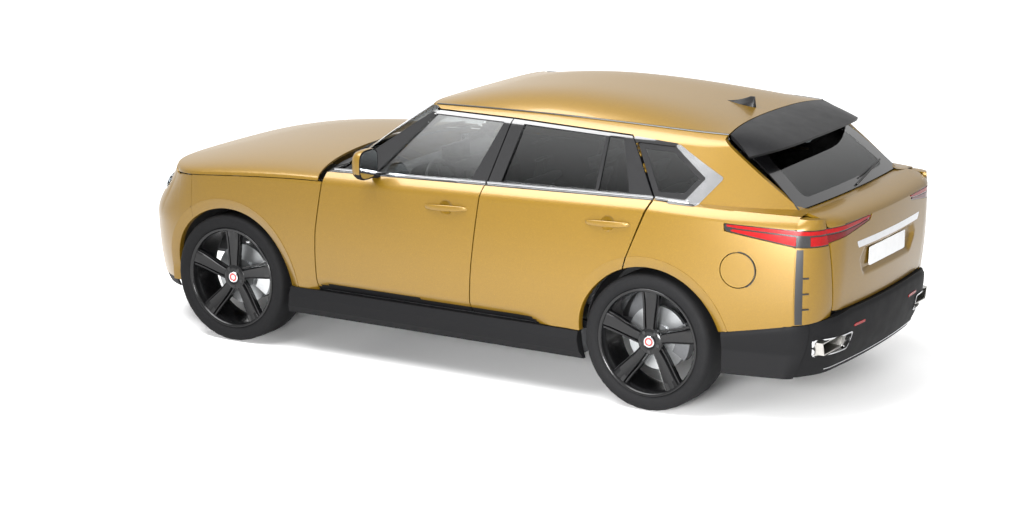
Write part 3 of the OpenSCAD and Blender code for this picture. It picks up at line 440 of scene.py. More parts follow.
def grid_faces(n, m, ring_u=False, ring_v=False):
    """Quads of an n by m grid of points, closed round either way."""
    i, j = np.meshgrid(np.arange(n if ring_u else n - 1), np.arange(m if ring_v else m - 1), indexing="ij")
    i, j = i.ravel(), j.ravel()
    i2, j2 = (i + 1) % n, (j + 1) % m
    return np.stack([i * m + j, i2 * m + j, i2 * m + j2, i * m + j2], 1)


def outwards(v, f):
    """Turns a closed shape's faces round where its signed volume is negative."""
    a, b, c, d = (v[f[:, k]] for k in range(4))
    volume = (np.cross(b - a, c - a) * a).sum() + (np.cross(c - a, d - a) * a).sum()
    return v, (f if volume > 0 else f[:, ::-1])


def thicken(v, f, back):
    """Closed wall: a face, the same face moved by back, and a strip along each free edge."""
    n = len(v)
    edges = np.concatenate([f[:, [k, (k + 1) % 4]] for k in range(4)])
    edges = edges[edges[:, 0] != edges[:, 1]]
    key = edges.min(1).astype(np.int64) * n + edges.max(1)
    _, where, count = np.unique(key, return_inverse=True, return_counts=True)
    free = edges[count[where.ravel()] == 1]
    wall = np.stack([free[:, 1], free[:, 0], free[:, 0] + n, free[:, 1] + n], 1)
    return outwards(np.concatenate([v, v + back]), np.concatenate([f, f[:, ::-1] + n, wall]))


def normals(p):
    """Unit normals of a grid of points: the cross product of its two slopes."""
    k = np.cross(np.gradient(p, axis=0), np.gradient(p, axis=1))
    return k / np.maximum(np.linalg.norm(k, axis=2, keepdims=True), 1e-9)


def wall(p, t):
    """Closed sheet of thickness t from a grid of points, towards the right hand of its slopes."""
    n, m = p.shape[:2]
    return thicken(p.reshape(-1, 3), grid_faces(n, m), (normals(p) * t).reshape(-1, 3))


def carry(profile, path, up, scale=1.0):
    """Bar: a closed profile (side, up) carried along a path, each end drawn to its middle."""
    t = np.gradient(path, axis=0)
    side = np.cross(t, np.broadcast_to(np.asarray(up, float), t.shape))
    side /= np.linalg.norm(side, axis=1, keepdims=True)
    top = np.cross(side, t)
    top /= np.linalg.norm(top, axis=1, keepdims=True)
    k = np.broadcast_to(np.asarray(scale, float).reshape(-1, 1, 1), (len(path), 1, 1))
    rings = path[:, None] + k * (profile[None, :, :1] * side[:, None] + profile[None, :, 1:] * top[:, None])
    ends = [np.broadcast_to(r.mean(0), r.shape)[None] for r in (rings[0], rings[-1])]
    rings = np.concatenate([ends[0], rings, ends[1]])
    return outwards(rings.reshape(-1, 3), grid_faces(len(rings), len(profile), ring_v=True))


def loft(rings):
    """Closed shape through rings of points, each end drawn to its middle."""
    ends = [np.broadcast_to(r.mean(0), r.shape)[None] for r in (rings[0], rings[-1])]
    rings = np.concatenate([ends[0], rings, ends[1]])
    return outwards(rings.reshape(-1, 3), grid_faces(len(rings), rings.shape[1], ring_v=True))


def spin(profile, n, closed=True):
    """A profile (radius, place along Y) turned about the Y axis."""
    a = np.linspace(0, 2 * math.pi, n, endpoint=False)[:, None]
    p = points(profile[None, :, 0] * np.sin(a), profile[None, :, 1] + 0 * a, profile[None, :, 0] * np.cos(a))
    return outwards(p.reshape(-1, 3), grid_faces(n, len(profile), ring_u=True, ring_v=closed))


def oval(rx, ry, n, power=2.0):
    """Profile on a superellipse: cos and sin raised to 2/power."""
    a = np.linspace(0, 2 * math.pi, n, endpoint=False)
    c, s = np.cos(a), np.sin(a)
    return np.stack([rx * np.sign(c) * np.abs(c) ** (2 / power), ry * np.sign(s) * np.abs(s) ** (2 / power)], 1)


def slab(corners, r, n=5):
    """Block between two opposite corners, its edges rounded by r: rings of a rounded rectangle along its height."""
    (x0, y0, z0), (x1, y1, z1) = corners
    ring = rounded([(x0, y0), (x1, y0), (x1, y1), (x0, y1)], r, n)
    mid = ring.mean(0)
    a = np.linspace(0, math.pi / 2, n)
    z = np.concatenate([z0 + r * (1 - np.sin(a)), z1 - r * (1 - np.sin(a[::-1]))])
    inset = np.concatenate([r * (1 - np.cos(math.pi / 2 - a)), r * (1 - np.cos(math.pi / 2 - a[::-1]))])
    half = np.abs(ring - mid).max(0)
    size = (half - inset[:, None]) / half
    flat = mid + (ring - mid)[None] * size[:, None]
    rings = np.concatenate([flat, np.broadcast_to(z[:, None, None], (len(z), len(ring), 1))], 2)
    return loft(rings[np.argsort(z)])


def mirrored(v, f):
    """The same shape on the other side of the car."""
    return v * np.array([1.0, -1.0, 1.0]), f[:, ::-1]


def join(*shapes):
    """Several shapes as one."""
    base = np.cumsum([0] + [len(v) for v, _ in shapes[:-1]])
    return np.concatenate([v for v, _ in shapes]), np.concatenate([f + k for (_, f), k in zip(shapes, base)])


def both(shape):
    """A shape and its mirror image."""
    return join(shape, mirrored(*shape))


def put(name, shape, material, body, slot, replaces=(), sharp=32.0, other=None):
    """Puts a shape into a mesh object: merges points that meet, leaves out collapsed faces and shades by angle.

    other is a second material with a test on the middles of the faces that take it.
    """
    v, f = shape
    key = np.round(v / 0.02).astype(np.int64)
    _, first, where = np.unique(key, axis=0, return_index=True, return_inverse=True)
    v, f = v[first], where.ravel()[f]
    turn = f != np.roll(f, 1, 1)
    size = turn.sum(1)
    tri = f[size == 3]
    tri = tri[turn[size == 3]].reshape(-1, 3)
    used, back = np.unique(np.concatenate([f[size == 4].ravel(), tri.ravel()]), return_inverse=True)
    quads, tris = back[:4 * (size == 4).sum()].reshape(-1, 4), back[4 * (size == 4).sum():].reshape(-1, 3)
    mesh = bpy.data.meshes.new(name)
    mesh.from_pydata((v[used] * MM).tolist(), [], quads.tolist() + tris.tolist())
    mesh.validate()
    mesh.polygons.foreach_set("use_smooth", np.ones(len(mesh.polygons), bool))
    mesh.set_sharp_from_angle(angle=math.radians(sharp))
    obj = bpy.data.objects.new(name, mesh)
    bpy.context.scene.collection.objects.link(obj)
    mesh.materials.append(bpy.data.materials[material])
    if other:
        mesh.materials.append(bpy.data.materials[other[0]])
        mid = np.empty(3 * len(mesh.polygons))
        mesh.polygons.foreach_get("center", mid)
        mesh.polygons.foreach_set("material_index", other[1](mid.reshape(-1, 3) / MM).astype(np.int32))
    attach(obj, body)
    if replaces:
        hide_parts(*replaces)
    return obj


# The side's own grid: columns along the car, and rows that follow the waist

SIDE_COLS = 300
SIDE_ROWS = np.array([52, 10, 3, 26, 8])


def side_knots(x):
    """Heights at which the rows change their spacing."""
    b = belt(x)
    return [SILL_TOP + 0 * x, b - SHOULDER, b, b + LEDGE, CANT_Z + 0 * x, np.maximum(edge_z(x), CANT_Z + 1)]


def side_index(p):
    """Place (x, z) in columns and rows."""
    x, z = p[:, 0], p[:, 1]
    k = side_knots(x)
    j = sum(n * np.clip((z - a) / (b - a), 0, 1) for n, a, b in zip(SIDE_ROWS, k, k[1:]))
    return np.stack([(x - CORNER_X) / (WING_FRONT - CORNER_X) * SIDE_COLS, j], 1)


def side_place(ij, depth=0.0):
    """Columns and rows to a point of the left side, depth behind the skin."""
    x = mix(CORNER_X, WING_FRONT, ij[:, 0] / SIDE_COLS)
    k = side_knots(x)
    start = np.concatenate([[0], np.cumsum(SIDE_ROWS)])
    z = k[0] + sum((b - a) * np.clip((ij[:, 1] - s) / n, 0, 1) for n, s, a, b in zip(SIDE_ROWS, start, k, k[1:]))
    return points(x, side_y(x, z) - depth, z)


def side_sheet(outline, holes=(), depth=0.0, t=12.0):
    """A panel of the left side: its outline on the side's grid, t thick across the car."""
    polys = [side_index(dense(o, 10)) for o in [outline, *holes]]
    ij, f = cut_cells(polys[0], polys[1:])
    return thicken(side_place(ij, depth), f, np.array([0, -t, 0]))


def dish(at, r, deep):
    """Round scoop in the side: rings about its middle, deep times one less the square of the radius, raised to 0.8."""
    k, a = np.meshgrid(np.linspace(0.001, 1, 16), np.linspace(0, 2 * math.pi, 65), indexing="ij")
    x, z = at[0] + r * k * np.cos(a), at[1] + r * k * np.sin(a)
    return wall(points(x, side_y(x, z) - deep * (1 - k * k) ** 0.8, z), 3.0)


def meet(axle_x, a, b, r):
    """Angle at which the line through a and b crosses a circle about an axle, on the side of b."""
    a = np.asarray(a, float) - (axle_x, AXLE_Z)
    d = np.asarray(b, float) - (axle_x, AXLE_Z) - a
    d /= np.linalg.norm(d)
    t = -a @ d + np.sqrt(sq(a @ d) - a @ a + sq(r))
    hit = a[:, None] + t * d[:, None]
    return np.arctan2(hit[1], hit[0])


LIP_R = np.array([ARCH_R + ARCH_LIP, ARCH_R + ARCH_LIP - 3, ARCH_R + 4, ARCH_R + 1, ARCH_R, ARCH_R, ARCH_R])
LIP_IN = np.array([0, 0.6, 20, 22, 25, 40, 60.0])


def arch_lip(axle_x, start, end, n, soft=None):
    """Flat lip round a wheel arch: rings between two angles, stepping in from the skin, then turned inwards."""
    t = np.linspace(0, 1, n)[:, None]
    a = mix(start[None], end[None], t)
    x, z = axle_x + LIP_R * np.cos(a), AXLE_Z + LIP_R * np.sin(a)
    fade = 1.0 if soft is None else ease((a - soft[0]) / (soft[1] - soft[0]))
    depth = np.where(LIP_IN > 22, LIP_IN - 22 * (1 - fade), LIP_IN * fade)
    p = points(x, side_y(x, np.maximum(z, SILL_TOP)) - depth, z)
    return wall(p, 3.0)


# Materials

def add(tree, kind, inputs=None, **settings):
    """Adds a node, sets its properties, and sets or links its inputs."""
    made = tree.nodes.new(kind)
    for key, value in settings.items():
        setattr(made, key, value)
    for key, value in (inputs or {}).items():
        if isinstance(value, bpy.types.NodeSocket):
            tree.links.new(value, made.inputs[key])
        else:
            made.inputs[key].default_value = value
    return made


def finish_material(name, make):
    """A new material whose tree is filled by make, which returns the shader's output socket."""
    material = bpy.data.materials.new(name)
    material.use_nodes = True
    tree = material.node_tree
    tree.nodes.clear()
    shader = make(tree)
    add(tree, "ShaderNodeOutputMaterial", {"Surface": shader})
    return material


def mottled(name, dark, light, size_mm, bump_mm, shader, rough=None, stretch=(1, 1, 1), kind="ShaderNodeTexNoise"):
    """Material with a grain of a real size: two near colours mixed by it, a height, and a roughness that varies."""
    dark, light = (hex_rgb(c) if isinstance(c, str) else c for c in (dark, light))

    def make(tree):
        coord = add(tree, "ShaderNodeTexCoord").outputs["Object"]
        grain_at = add(tree, "ShaderNodeMapping", {"Vector": coord, "Scale": stretch}).outputs["Vector"]
        grain = add(tree, kind, {"Vector": grain_at, "Scale": 1000 / size_mm})
        height = grain.outputs[0]
        tone = add(tree, "ShaderNodeMix", {0: height, 6: dark, 7: light}, data_type="RGBA")
        inputs = {"Base Color": tone.outputs[2], **shader}
        if bump_mm:
            bump = add(tree, "ShaderNodeBump", {"Height": height, "Strength": 1.0, "Distance": bump_mm * MM})
            inputs["Normal"] = bump.outputs["Normal"]
        if rough:
            wide = add(tree, "ShaderNodeTexNoise", {"Vector": coord, "Scale": 1000 / rough[2]})
            spread = add(tree, "ShaderNodeMapRange", {"Value": wide.outputs[0], 3: rough[0], 4: rough[1]})
            inputs["Roughness"] = spread.outputs[0]
        return add(tree, "ShaderNodeBsdfPrincipled", inputs).outputs["BSDF"]
    return finish_material(name, make)


def make_materials(looks):
    """Every finish on the car, each named for what it is."""
    # Gold base coat with metal flake under clear lacquer: the flake is drawn 2.5 mm wide so that it shows
    mottled("gold_flake_lacquer", looks.paint_deep, looks.paint_bright, 2.5, 0,
            {"Metallic": 0.3, "Roughness": 0.34, "Coat Weight": 0.25, "Coat Roughness": 0.03},
            kind="ShaderNodeTexVoronoi")
    # Gloss-black lacquered window frames: deep black, with a faint waviness in the gloss
    mottled("gloss_black_lacquer", "#0B0B0C", "#101012", 30, 0, {"Coat Weight": 0.6, "Coat Roughness": 0.05},
            rough=(0.12, 0.2, 60))
    # Spoiler and roof fin in satin black lacquer: dull black that shows its shape
    mottled("satin_black_lacquer", "#151516", "#1C1C1D", 25, 0, {"Specular IOR Level": 0.1},
            rough=(0.3, 0.42, 80))
    # Moulded black polypropylene cladding: a fine spark-eroded grain, drawn 3 mm wide so that it shows
    mottled("grained_black_polypropylene", "#121213", "#1A1A1B", 3, 0.12, {"Specular IOR Level": 0.06},
            rough=(0.48, 0.62, 90))
    # Black ABS inside lamps, vents and arches: plain and dark
    mottled("black_abs", "#0A0A0B", "#121213", 6, 0.1, {}, rough=(0.45, 0.6, 60))
    # Tyre rubber: near black, dull, with mould lines
    mottled("tyre_rubber", "#101011", "#19191A", 8, 0.15, {"Specular IOR Level": 0.1}, rough=(0.62, 0.78, 70))
    # Dark lacquered cast alloy: black spokes with a narrow, soft glint
    mottled("dark_lacquered_alloy", "#0D0D0E", "#131314", 20, 0,
            {"Metallic": 0.3, "Specular IOR Level": 0.3, "Coat Weight": 0.15}, rough=(0.2, 0.3, 50))
    # Chromed plastic: a greyed bright metal, almost smooth
    mottled("chromed_abs", "#B4B5B7", "#C2C3C5", 40, 0, {"Metallic": 1.0}, rough=(0.1, 0.18, 60))
    # Machined cast-iron brake disc: ring-turned grey
    mottled("turned_cast_iron", "#8B8D8F", "#A9ABAC", 4, 0.05, {"Metallic": 0.9}, rough=(0.32, 0.45, 25))
    # Painted caliper casting in silver, its colour lifted to near white: painted light, so that it stays bright in the
    # shade behind the spokes
    mottled("silver_caliper_enamel", "#D2D4D5", "#E2E4E5", 5, 0.05, {"Coat Weight": 0.6}, rough=(0.25, 0.35, 30))
    # Red acrylic lamp lenses: a faintly glowing red band, and a darker one beside it; the bumper's reflectors take the
    # same faint glow, painted light on a part that is no lamp
    mottled("red_acrylic", "#700709", "#921012", 14, 0,
            {"Specular IOR Level": 0.2, "Emission Color": hex_rgb("#E01A18"), "Emission Strength": 0.04},
            rough=(0.12, 0.2, 40))
    mottled("dark_red_acrylic", "#4A0608", "#6A0A0C", 14, 0, {"Specular IOR Level": 0.25}, rough=(0.12, 0.2, 40))
    # Red enamel ring on the wheel cap: a clear red dot in the dark wheel
    mottled("red_enamel", "#C8201C", "#DC2C26", 10, 0, {"Coat Weight": 1.0}, rough=(0.2, 0.3, 20))
    # Leather: charcoal hide with a 6 mm pebble grain, its colour lifted to a mid grey as a painted fill light in the
    # cabin
    mottled("charcoal_leather", "#5A5A5C", "#6A6A6C", 6, 0.35, {"Sheen Weight": 0.15}, rough=(0.45, 0.6, 50),
            kind="ShaderNodeTexVoronoi")
    # Needle-felt carpet and woven roof lining: soft, without any shine
    mottled("felt_carpet", "#1B1B1C", "#2C2C2D", 4, 0.6, {"Sheen Weight": 0.3}, rough=(0.85, 0.95, 60))
    mottled("woven_headlining", "#77746E", "#85827B", 3, 0.2, {"Sheen Weight": 0.2}, rough=(0.8, 0.9, 60))
    # Soft-touch skin of dashboard and door trims: dark and matt
    mottled("soft_dash_skin", "#1E1E20", "#28282A", 4, 0.2, {}, rough=(0.5, 0.65, 60))
    # Sealed steel, cast aluminium and stainless pipes under the car: three greys that tell them apart
    mottled("grey_sealed_steel", "#4A4B4D", "#5C5D5F", 30, 0.2, {"Metallic": 0.3}, rough=(0.5, 0.68, 90))
    mottled("cast_aluminium", "#8E9092", "#A3A5A6", 4, 0.15, {"Metallic": 0.85}, rough=(0.4, 0.55, 40))
    mottled("stainless_exhaust", "#9A9894", "#B4B2AD", 18, 0.05, {"Metallic": 1.0}, rough=(0.25, 0.42, 60))
    # Mirror glass: a clean reflection
    mottled("silvered_glass", "#C9CED1", "#D3D8DA", 50, 0, {"Metallic": 1.0}, rough=(0.02, 0.05, 80))
    # Enamelled blank plate: plain white
    mottled("white_plate_enamel", "#D9DADB", "#E6E7E8", 40, 0, {"Coat Weight": 0.5}, rough=(0.3, 0.4, 50))
    # Aluminised reflector bowl of a lamp: a bright ring behind the lens
    mottled("lamp_reflector", "#C4C7CA", "#DADDE0", 18, 0.1, {"Metallic": 1.0}, rough=(0.12, 0.25, 30))

    def tinted(tint, rough, painted_sheen=(0.0, 0.0)):
        """Tinted glass mixed with a mirror of the sky whose share grows from the waist to the roof: the mirror is real,
        its growth with height is a painted reflection.
        """
        def make(tree):
            coord = add(tree, "ShaderNodeTexCoord").outputs["Object"]
            wave = add(tree, "ShaderNodeTexNoise", {"Vector": coord, "Scale": 4.0})
            tone = add(tree, "ShaderNodeMix", {0: wave.outputs[0], 6: hex_rgb(tint[0]), 7: hex_rgb(tint[1])},
                       data_type="RGBA")
            clear = add(tree, "ShaderNodeBsdfPrincipled", {
                "Base Color": tone.outputs[2], "Transmission Weight": 1.0, "Roughness": rough, "IOR": 1.2})
            height = add(tree, "ShaderNodeSeparateXYZ", {0: coord}).outputs["Z"]
            # Painted reflection: the mirror's share is set by height, not by the angle of view
            share = add(tree, "ShaderNodeMapRange", {"Value": height, 1: 1.18, 2: 1.56, 3: painted_sheen[0], 4: painted_sheen[1]})
            sky = add(tree, "ShaderNodeBsdfGlossy", {"Color": (1, 1, 1, 1), "Roughness": 0.03})
            shown = {0: share.outputs[0], 1: clear.outputs[0], 2: sky.outputs[0]}
            return add(tree, "ShaderNodeMixShader", shown).outputs[0]
        return make
    # Float glass: the doors and screen lightly tinted, the rear panes darker, both with a painted reflection that grows
    # towards the roof
    finish_material("tinted_float_glass", tinted(("#D2D6D6", "#DADEDE"), 0.0, (0.0, 0.34)))
    finish_material("dark_privacy_glass", tinted(("#8A8E8F", "#929697"), 0.0, (0.0, 0.1)))
    finish_material("clear_polycarbonate", tinted(("#E6EAEC", "#EEF1F3"), 0.02))


# Settings

class CarLooks(bpy.types.PropertyGroup):
    """Colours that a user may change."""
    paint_deep: bpy.props.FloatVectorProperty(
        name="Deep paint", description="Colour of the flake's dark side", subtype="COLOR", size=4, min=0, max=1,
        default=hex_rgb("#5E460A"))
    paint_bright: bpy.props.FloatVectorProperty(
        name="Bright paint", description="Colour of the flake's bright side", subtype="COLOR", size=4, min=0, max=1,
        default=hex_rgb("#7E6010"))
    floor: bpy.props.FloatVectorProperty(
        name="Floor", description="Colour of the studio floor", subtype="COLOR", size=4, min=0, max=1,
        default=hex_rgb("#E4E4E4"))


class CarSizes(bpy.types.PropertyGroup):
    """Sizes that a user may change."""
    spokes: bpy.props.IntProperty(name="Spokes", description="Spokes in each wheel", default=5, min=4, max=8)
    strip_h: bpy.props.FloatProperty(
        name="Waist strip", description="Height of the bright strip under the windows", unit="LENGTH",
        default=0.014, min=0.006, max=0.025)
    floor_size: bpy.props.FloatProperty(
        name="Floor", description="Side of the studio floor", unit="LENGTH", default=120.0)
    softbox: bpy.props.FloatProperty(
        name="Softbox", description="Power of the overhead softbox", unit="POWER", default=1350.0)
    daylight: bpy.props.FloatProperty(
        name="Daylight", description="Strength of the even light from all round", subtype="FACTOR", min=0, max=1,
        default=0.3)


SIDES = ("left", "right")


def sided(shape, side):
    """A left-hand shape, or its mirror image for the right."""
    return shape if side == "left" else mirrored(*shape)


def aim_at(obj, at, to):
    """Places a camera or lamp and turns it to look at a point."""
    obj.location = at
    d = np.array(to) - np.array(at)
    obj.rotation_euler = (math.pi / 2 + math.atan2(d[2], math.hypot(d[0], d[1])), 0, math.atan2(-d[0], d[1]))


class CarOperator(bpy.types.Operator):
    """A step in dressing the car."""
    bl_options = {"REGISTER", "UNDO"}

    def execute(self, context):
        self.make(context.scene.car_sizes, context.scene.car_looks)
        return {"FINISHED"}


class CAR_OT_stage(CarOperator):
    """Camera at the photograph's place, pale floor, softboxes and even daylight"""
    bl_idname = "car.stage"
    bl_label = "Stage"

    def make(self, sizes, looks):
        scene = bpy.context.scene
        scene.view_settings.view_transform = "Standard"
        lens = bpy.data.cameras.new("camera")
        lens.lens, lens.sensor_width = CAMERA_LENS, CAMERA_SENSOR
        lens.clip_end = 200
        camera = bpy.data.objects.new("camera", lens)
        scene.collection.objects.link(camera)
        aim_at(camera, CAMERA_AT, CAMERA_AIM)
        scene.camera = camera

        def shown_white(tree):
            """Rays from the camera, from metal and through glass, which all see the white background."""
            path = add(tree, "ShaderNodeLightPath").outputs
            mirrored_too = add(tree, "ShaderNodeMath", {0: path["Is Camera Ray"], 1: path["Is Glossy Ray"]},
                               operation="MAXIMUM")
            return add(tree, "ShaderNodeMath", {0: mirrored_too.outputs[0], 1: path["Is Transmission Ray"]},
                       operation="MAXIMUM").outputs[0]

        def floor(tree):
            """Matt floor, lifted to white by emission away from the car; within an oval round the car there is no lift,
            a painted shade that keeps the floor grey there beside the real shadow.
            """
            matt = add(tree, "ShaderNodeBsdfDiffuse", {"Color": looks.floor})
            at = add(tree, "ShaderNodeTexCoord").outputs["Object"]
            oval_at = add(tree, "ShaderNodeVectorMath", {0: at, 1: (0.4, 0.8, 1)}, operation="MULTIPLY").outputs[0]
            away = add(tree, "ShaderNodeVectorMath", {0: oval_at}, operation="LENGTH").outputs["Value"]
            # Painted shade: no lift inside the oval round the car, so the floor there stays grey in light and shadow
            # alike; the lift further out makes the floor evenly white
            near = add(tree, "ShaderNodeMapRange", {"Value": away, 1: 0.72, 2: 1.2, 3: 0.0, 4: 0.5},
                       interpolation_type="SMOOTHSTEP")
            far = add(tree, "ShaderNodeMapRange", {"Value": away, 1: 2.0, 2: 8.0, 3: 0.0, 4: 0.6})
            power = add(tree, "ShaderNodeMath", {0: near.outputs[0], 1: far.outputs[0]}, operation="ADD").outputs[0]
            lift = add(tree, "ShaderNodeEmission", {"Color": (1, 1, 1, 1), "Strength": power})
            dark = add(tree, "ShaderNodeEmission", {"Strength": 0.0})
            shown = add(tree, "ShaderNodeMixShader", {0: shown_white(tree), 1: dark.outputs[0], 2: lift.outputs[0]})
            return add(tree, "ShaderNodeAddShader", {0: matt.outputs[0], 1: shown.outputs[0]}).outputs[0]
        finish_material("pale_studio_floor", floor)
        half = sizes.floor_size / 2
        mesh = bpy.data.meshes.new("floor")
        mesh.from_pydata([(-half, -half, 0), (half, -half, 0), (half, half, 0), (-half, half, 0)], [], [(0, 1, 2, 3)])
        mesh.materials.append(bpy.data.materials["pale_studio_floor"])
        ground = bpy.data.objects.new("floor", mesh)
        scene.collection.objects.link(ground)

        world = bpy.data.worlds.new("studio")
        world.use_nodes = True
        scene.world = world
        tree = world.node_tree
        tree.nodes.clear()
        sky = add(tree, "ShaderNodeBackground", {"Color": (1, 1, 1, 1), "Strength": sizes.daylight})
        white = add(tree, "ShaderNodeBackground", {"Color": (1, 1, 1, 1), "Strength": 1.0})
        both_skies = add(tree, "ShaderNodeMixShader", {0: shown_white(tree), 1: sky.outputs[0], 2: white.outputs[0]})
        add(tree, "ShaderNodeOutputWorld", {"Surface": both_skies.outputs[0]})

        boxes = [("top_softbox", (1.5, 2.5, 7.0), (0.0, 0.0, 0.6), (7.0, 5.0), sizes.softbox),
                 ("quarter_softbox", (-3.6, 8.5, 2.2), (-1.9, 0.9, 0.9), (2.6, 1.8), 290.0),
                 ("tail_softbox", (-8.0, 2.0, 4.0), (-1.5, 0.0, 0.8), (4.0, 3.0), 70.0)]
        for name, at, to, size, power in boxes:
            light = bpy.data.lights.new(name, "AREA")
            light.spread = math.radians(75 if name == "quarter_softbox" else 180)
            light.shape, light.size, light.size_y, light.energy = "RECTANGLE", size[0], size[1], power
            lamp = bpy.data.objects.new(name, light)
            scene.collection.objects.link(lamp)
            aim_at(lamp, at, to)
        make_materials(looks)


class CAR_OT_sides(CarOperator):
    """Wings, doors and rear quarters, cut from one grid of the body side, with the lips of the wheel arches"""
    bl_idname = "car.sides"
    bl_label = "Sides"

    def make(self, sizes, looks):
        out = ARCH_R + ARCH_LIP
        wing_x = WING_FRONT - SEAM
        top_x = np.linspace(wing_x, 880, 30)
        start = np.arccos((wing_x - FRONT_AXLE) / LIP_R)
        end = math.pi - np.arcsin((SILL_TOP + SEAM - AXLE_Z) / LIP_R)
        wing = np.concatenate([
            arc(FRONT_AXLE, out, end[0], start[0], 60),
            np.stack([top_x, bonnet_line(top_x) - GAP], 1),
            [(A_WAIST[0] + HINGE_GAP + 8, 1104), (A_MID[0] + HINGE_GAP, A_MID[1]),
             (A_FOOT[0] + HINGE_GAP, SILL_TOP + SEAM)]])
        a_belt, b_belt = ((x, belt(x)) for x in (A_WAIST[0], B_WAIST[0]))
        front_low = [B_LOW, A_FOOT, A_MID, a_belt, b_belt]
        front_high = [b_belt, a_belt, (720, 1176), (160, FRAME_TOP), B_TOP]
        foot = np.arcsin((DOOR_LOW - AXLE_Z) / LIP_R)
        door_end = meet(REAR_AXLE, C_ARCH, C_WAIST, LIP_R)
        c_belt = (C_WAIST[0] + 6, belt(C_WAIST[0] + 6.0))
        rear_low = np.concatenate([
            [shifted(B_LOW, HINGE_GAP), shifted(b_belt, HINGE_GAP), c_belt],
            arc(REAR_AXLE, out, door_end[0], foot[0], 40)])
        rear_high = [shifted(b_belt, HINGE_GAP), shifted(B_TOP, HINGE_GAP), C_TOP, C_WAIST, c_belt]
        gap_end = meet(REAR_AXLE, shifted(C_ARCH, HINGE_GAP), shifted(C_WAIST, HINGE_GAP), LIP_R)
        line_end = math.pi - np.arcsin((bumper_line(REAR_AXLE - LIP_R) - AXLE_Z) / LIP_R)
        roof_x = np.linspace(214, ROOF_SEAM + 2, 60)
        quarter = np.concatenate([
            arc(REAR_AXLE, out, line_end[0], gap_end[0], 50),
            [shifted(C_WAIST, HINGE_GAP), shifted(C_TOP, HINGE_GAP - 1), (C_TOP[0] + 4, C_TOP[1] + HINGE_GAP),
             (B_TOP[0], B_TOP[1] + HINGE_GAP), (163, FRAME_TOP + HINGE_GAP)],
            np.stack([roof_x, edge_z(roof_x) - 0.5], 1),
            [(ROOF_SEAM + 5, 1578), (GLASS_FOOT[0] + 34, GLASS_FOOT[1] + 8), (CORNER_X, belt(CORNER_X) + 6),
             (CORNER_X, 1150), (-1843, 1160), (-1850, 1114), (CORNER_X, 1052), (CORNER_X, bumper_line(CORNER_X))]])

        def foot_trim_and_shade(mid):
            """Door feet take black plastic where the side cuts under more than 14 mm: partly the black trim there,
            partly painted shade for the dark band under the doors.
            """
            return undercut(mid[:, 0], mid[:, 2]) > 14

        scoops = [dish(at, SCOOP_R, 15.0) for at in HANDLES]
        for side in SIDES:
            filler = [circle(FLAP, FLAP_R + 5.5)] if side == "left" else []
            parts = [
                (f"front_wing_{side}", join(side_sheet(wing, t=10.0), arch_lip(FRONT_AXLE, end, start, 60)),
                 "gold_flake_lacquer", "body", "paint", [f"front_wing_{side}"]),
                (f"front_door_{side}",
                 join(side_sheet(front_low, [circle(HANDLES[0], SCOOP_R)], t=DOOR_EDGE), scoops[0]),
                 "gold_flake_lacquer", f"door_front_{side}", "paint", [f"front_door_{side}"]),
                (f"front_frame_{side}", side_sheet(front_high, [FRONT_WINDOW], t=DOOR_EDGE - 5), "gloss_black_lacquer",
                 f"door_front_{side}", "gloss_black", []),
                (f"rear_door_{side}", join(side_sheet(rear_low, [circle(HANDLES[1], SCOOP_R)], t=DOOR_EDGE), scoops[1],
                                           arch_lip(REAR_AXLE, door_end, foot, 40, (0.35, 0.95))),
                 "gold_flake_lacquer", f"door_rear_{side}", "paint", [f"rear_door_{side}"]),
                (f"rear_frame_{side}", side_sheet(rear_high, [REAR_WINDOW], t=DOOR_EDGE - 5), "gloss_black_lacquer",
                 f"door_rear_{side}", "gloss_black", []),
                (f"body_side_{side}", join(side_sheet(quarter, [QUARTER_WINDOW, *filler], t=30.0),
                                           arch_lip(REAR_AXLE, line_end, gap_end, 50)),
                 "gold_flake_lacquer", "body", "paint", [f"body_side_{side}"]),
            ]
            for name, shape, material, body, slot, nodes in parts:
                put(name, sided(shape, side), material, body, slot, nodes,
                    other=("grained_black_polypropylene", foot_trim_and_shade) if "_door_" in name else None)


class CAR_OT_roof_and_bonnet(CarOperator):
    """Roof, its black drip mouldings and the bonnet"""
    bl_idname = "car.roof_and_bonnet"
    bl_label = "Roof and bonnet"

    def make(self, sizes, looks):
        u, w = np.meshgrid(np.linspace(0, 1, 70), np.linspace(1, -1, 61), indexing="ij")
        put("roof_panel", wall(roof_point(u, w), 10.0), "gold_flake_lacquer", "body", "paint", ["roof_panel"])
        x = np.linspace(205, ROOF_SEAM - 2, 80)
        path = points(x, side_y(x, edge_z(x)) - 1, edge_z(x) - 1)
        put("drip_mouldings", both(carry(oval(9, 5, 10), path, (0, 0, 1))), "gloss_black_lacquer", "body",
            "gloss_black")
        t = np.linspace(1, -1, 101)
        u, w = np.meshgrid(np.linspace(0, 1, 80), np.sign(t) * (1 - (1 - np.abs(t)) ** 1.5), indexing="ij")
        skin, under = bonnet_point(u, w), bonnet_point(u, w, 14.0)
        put("bonnet", thicken(skin.reshape(-1, 3), grid_faces(*u.shape), (under - skin).reshape(-1, 3)),
            "gold_flake_lacquer", "bonnet", "paint", ["bonnet"])


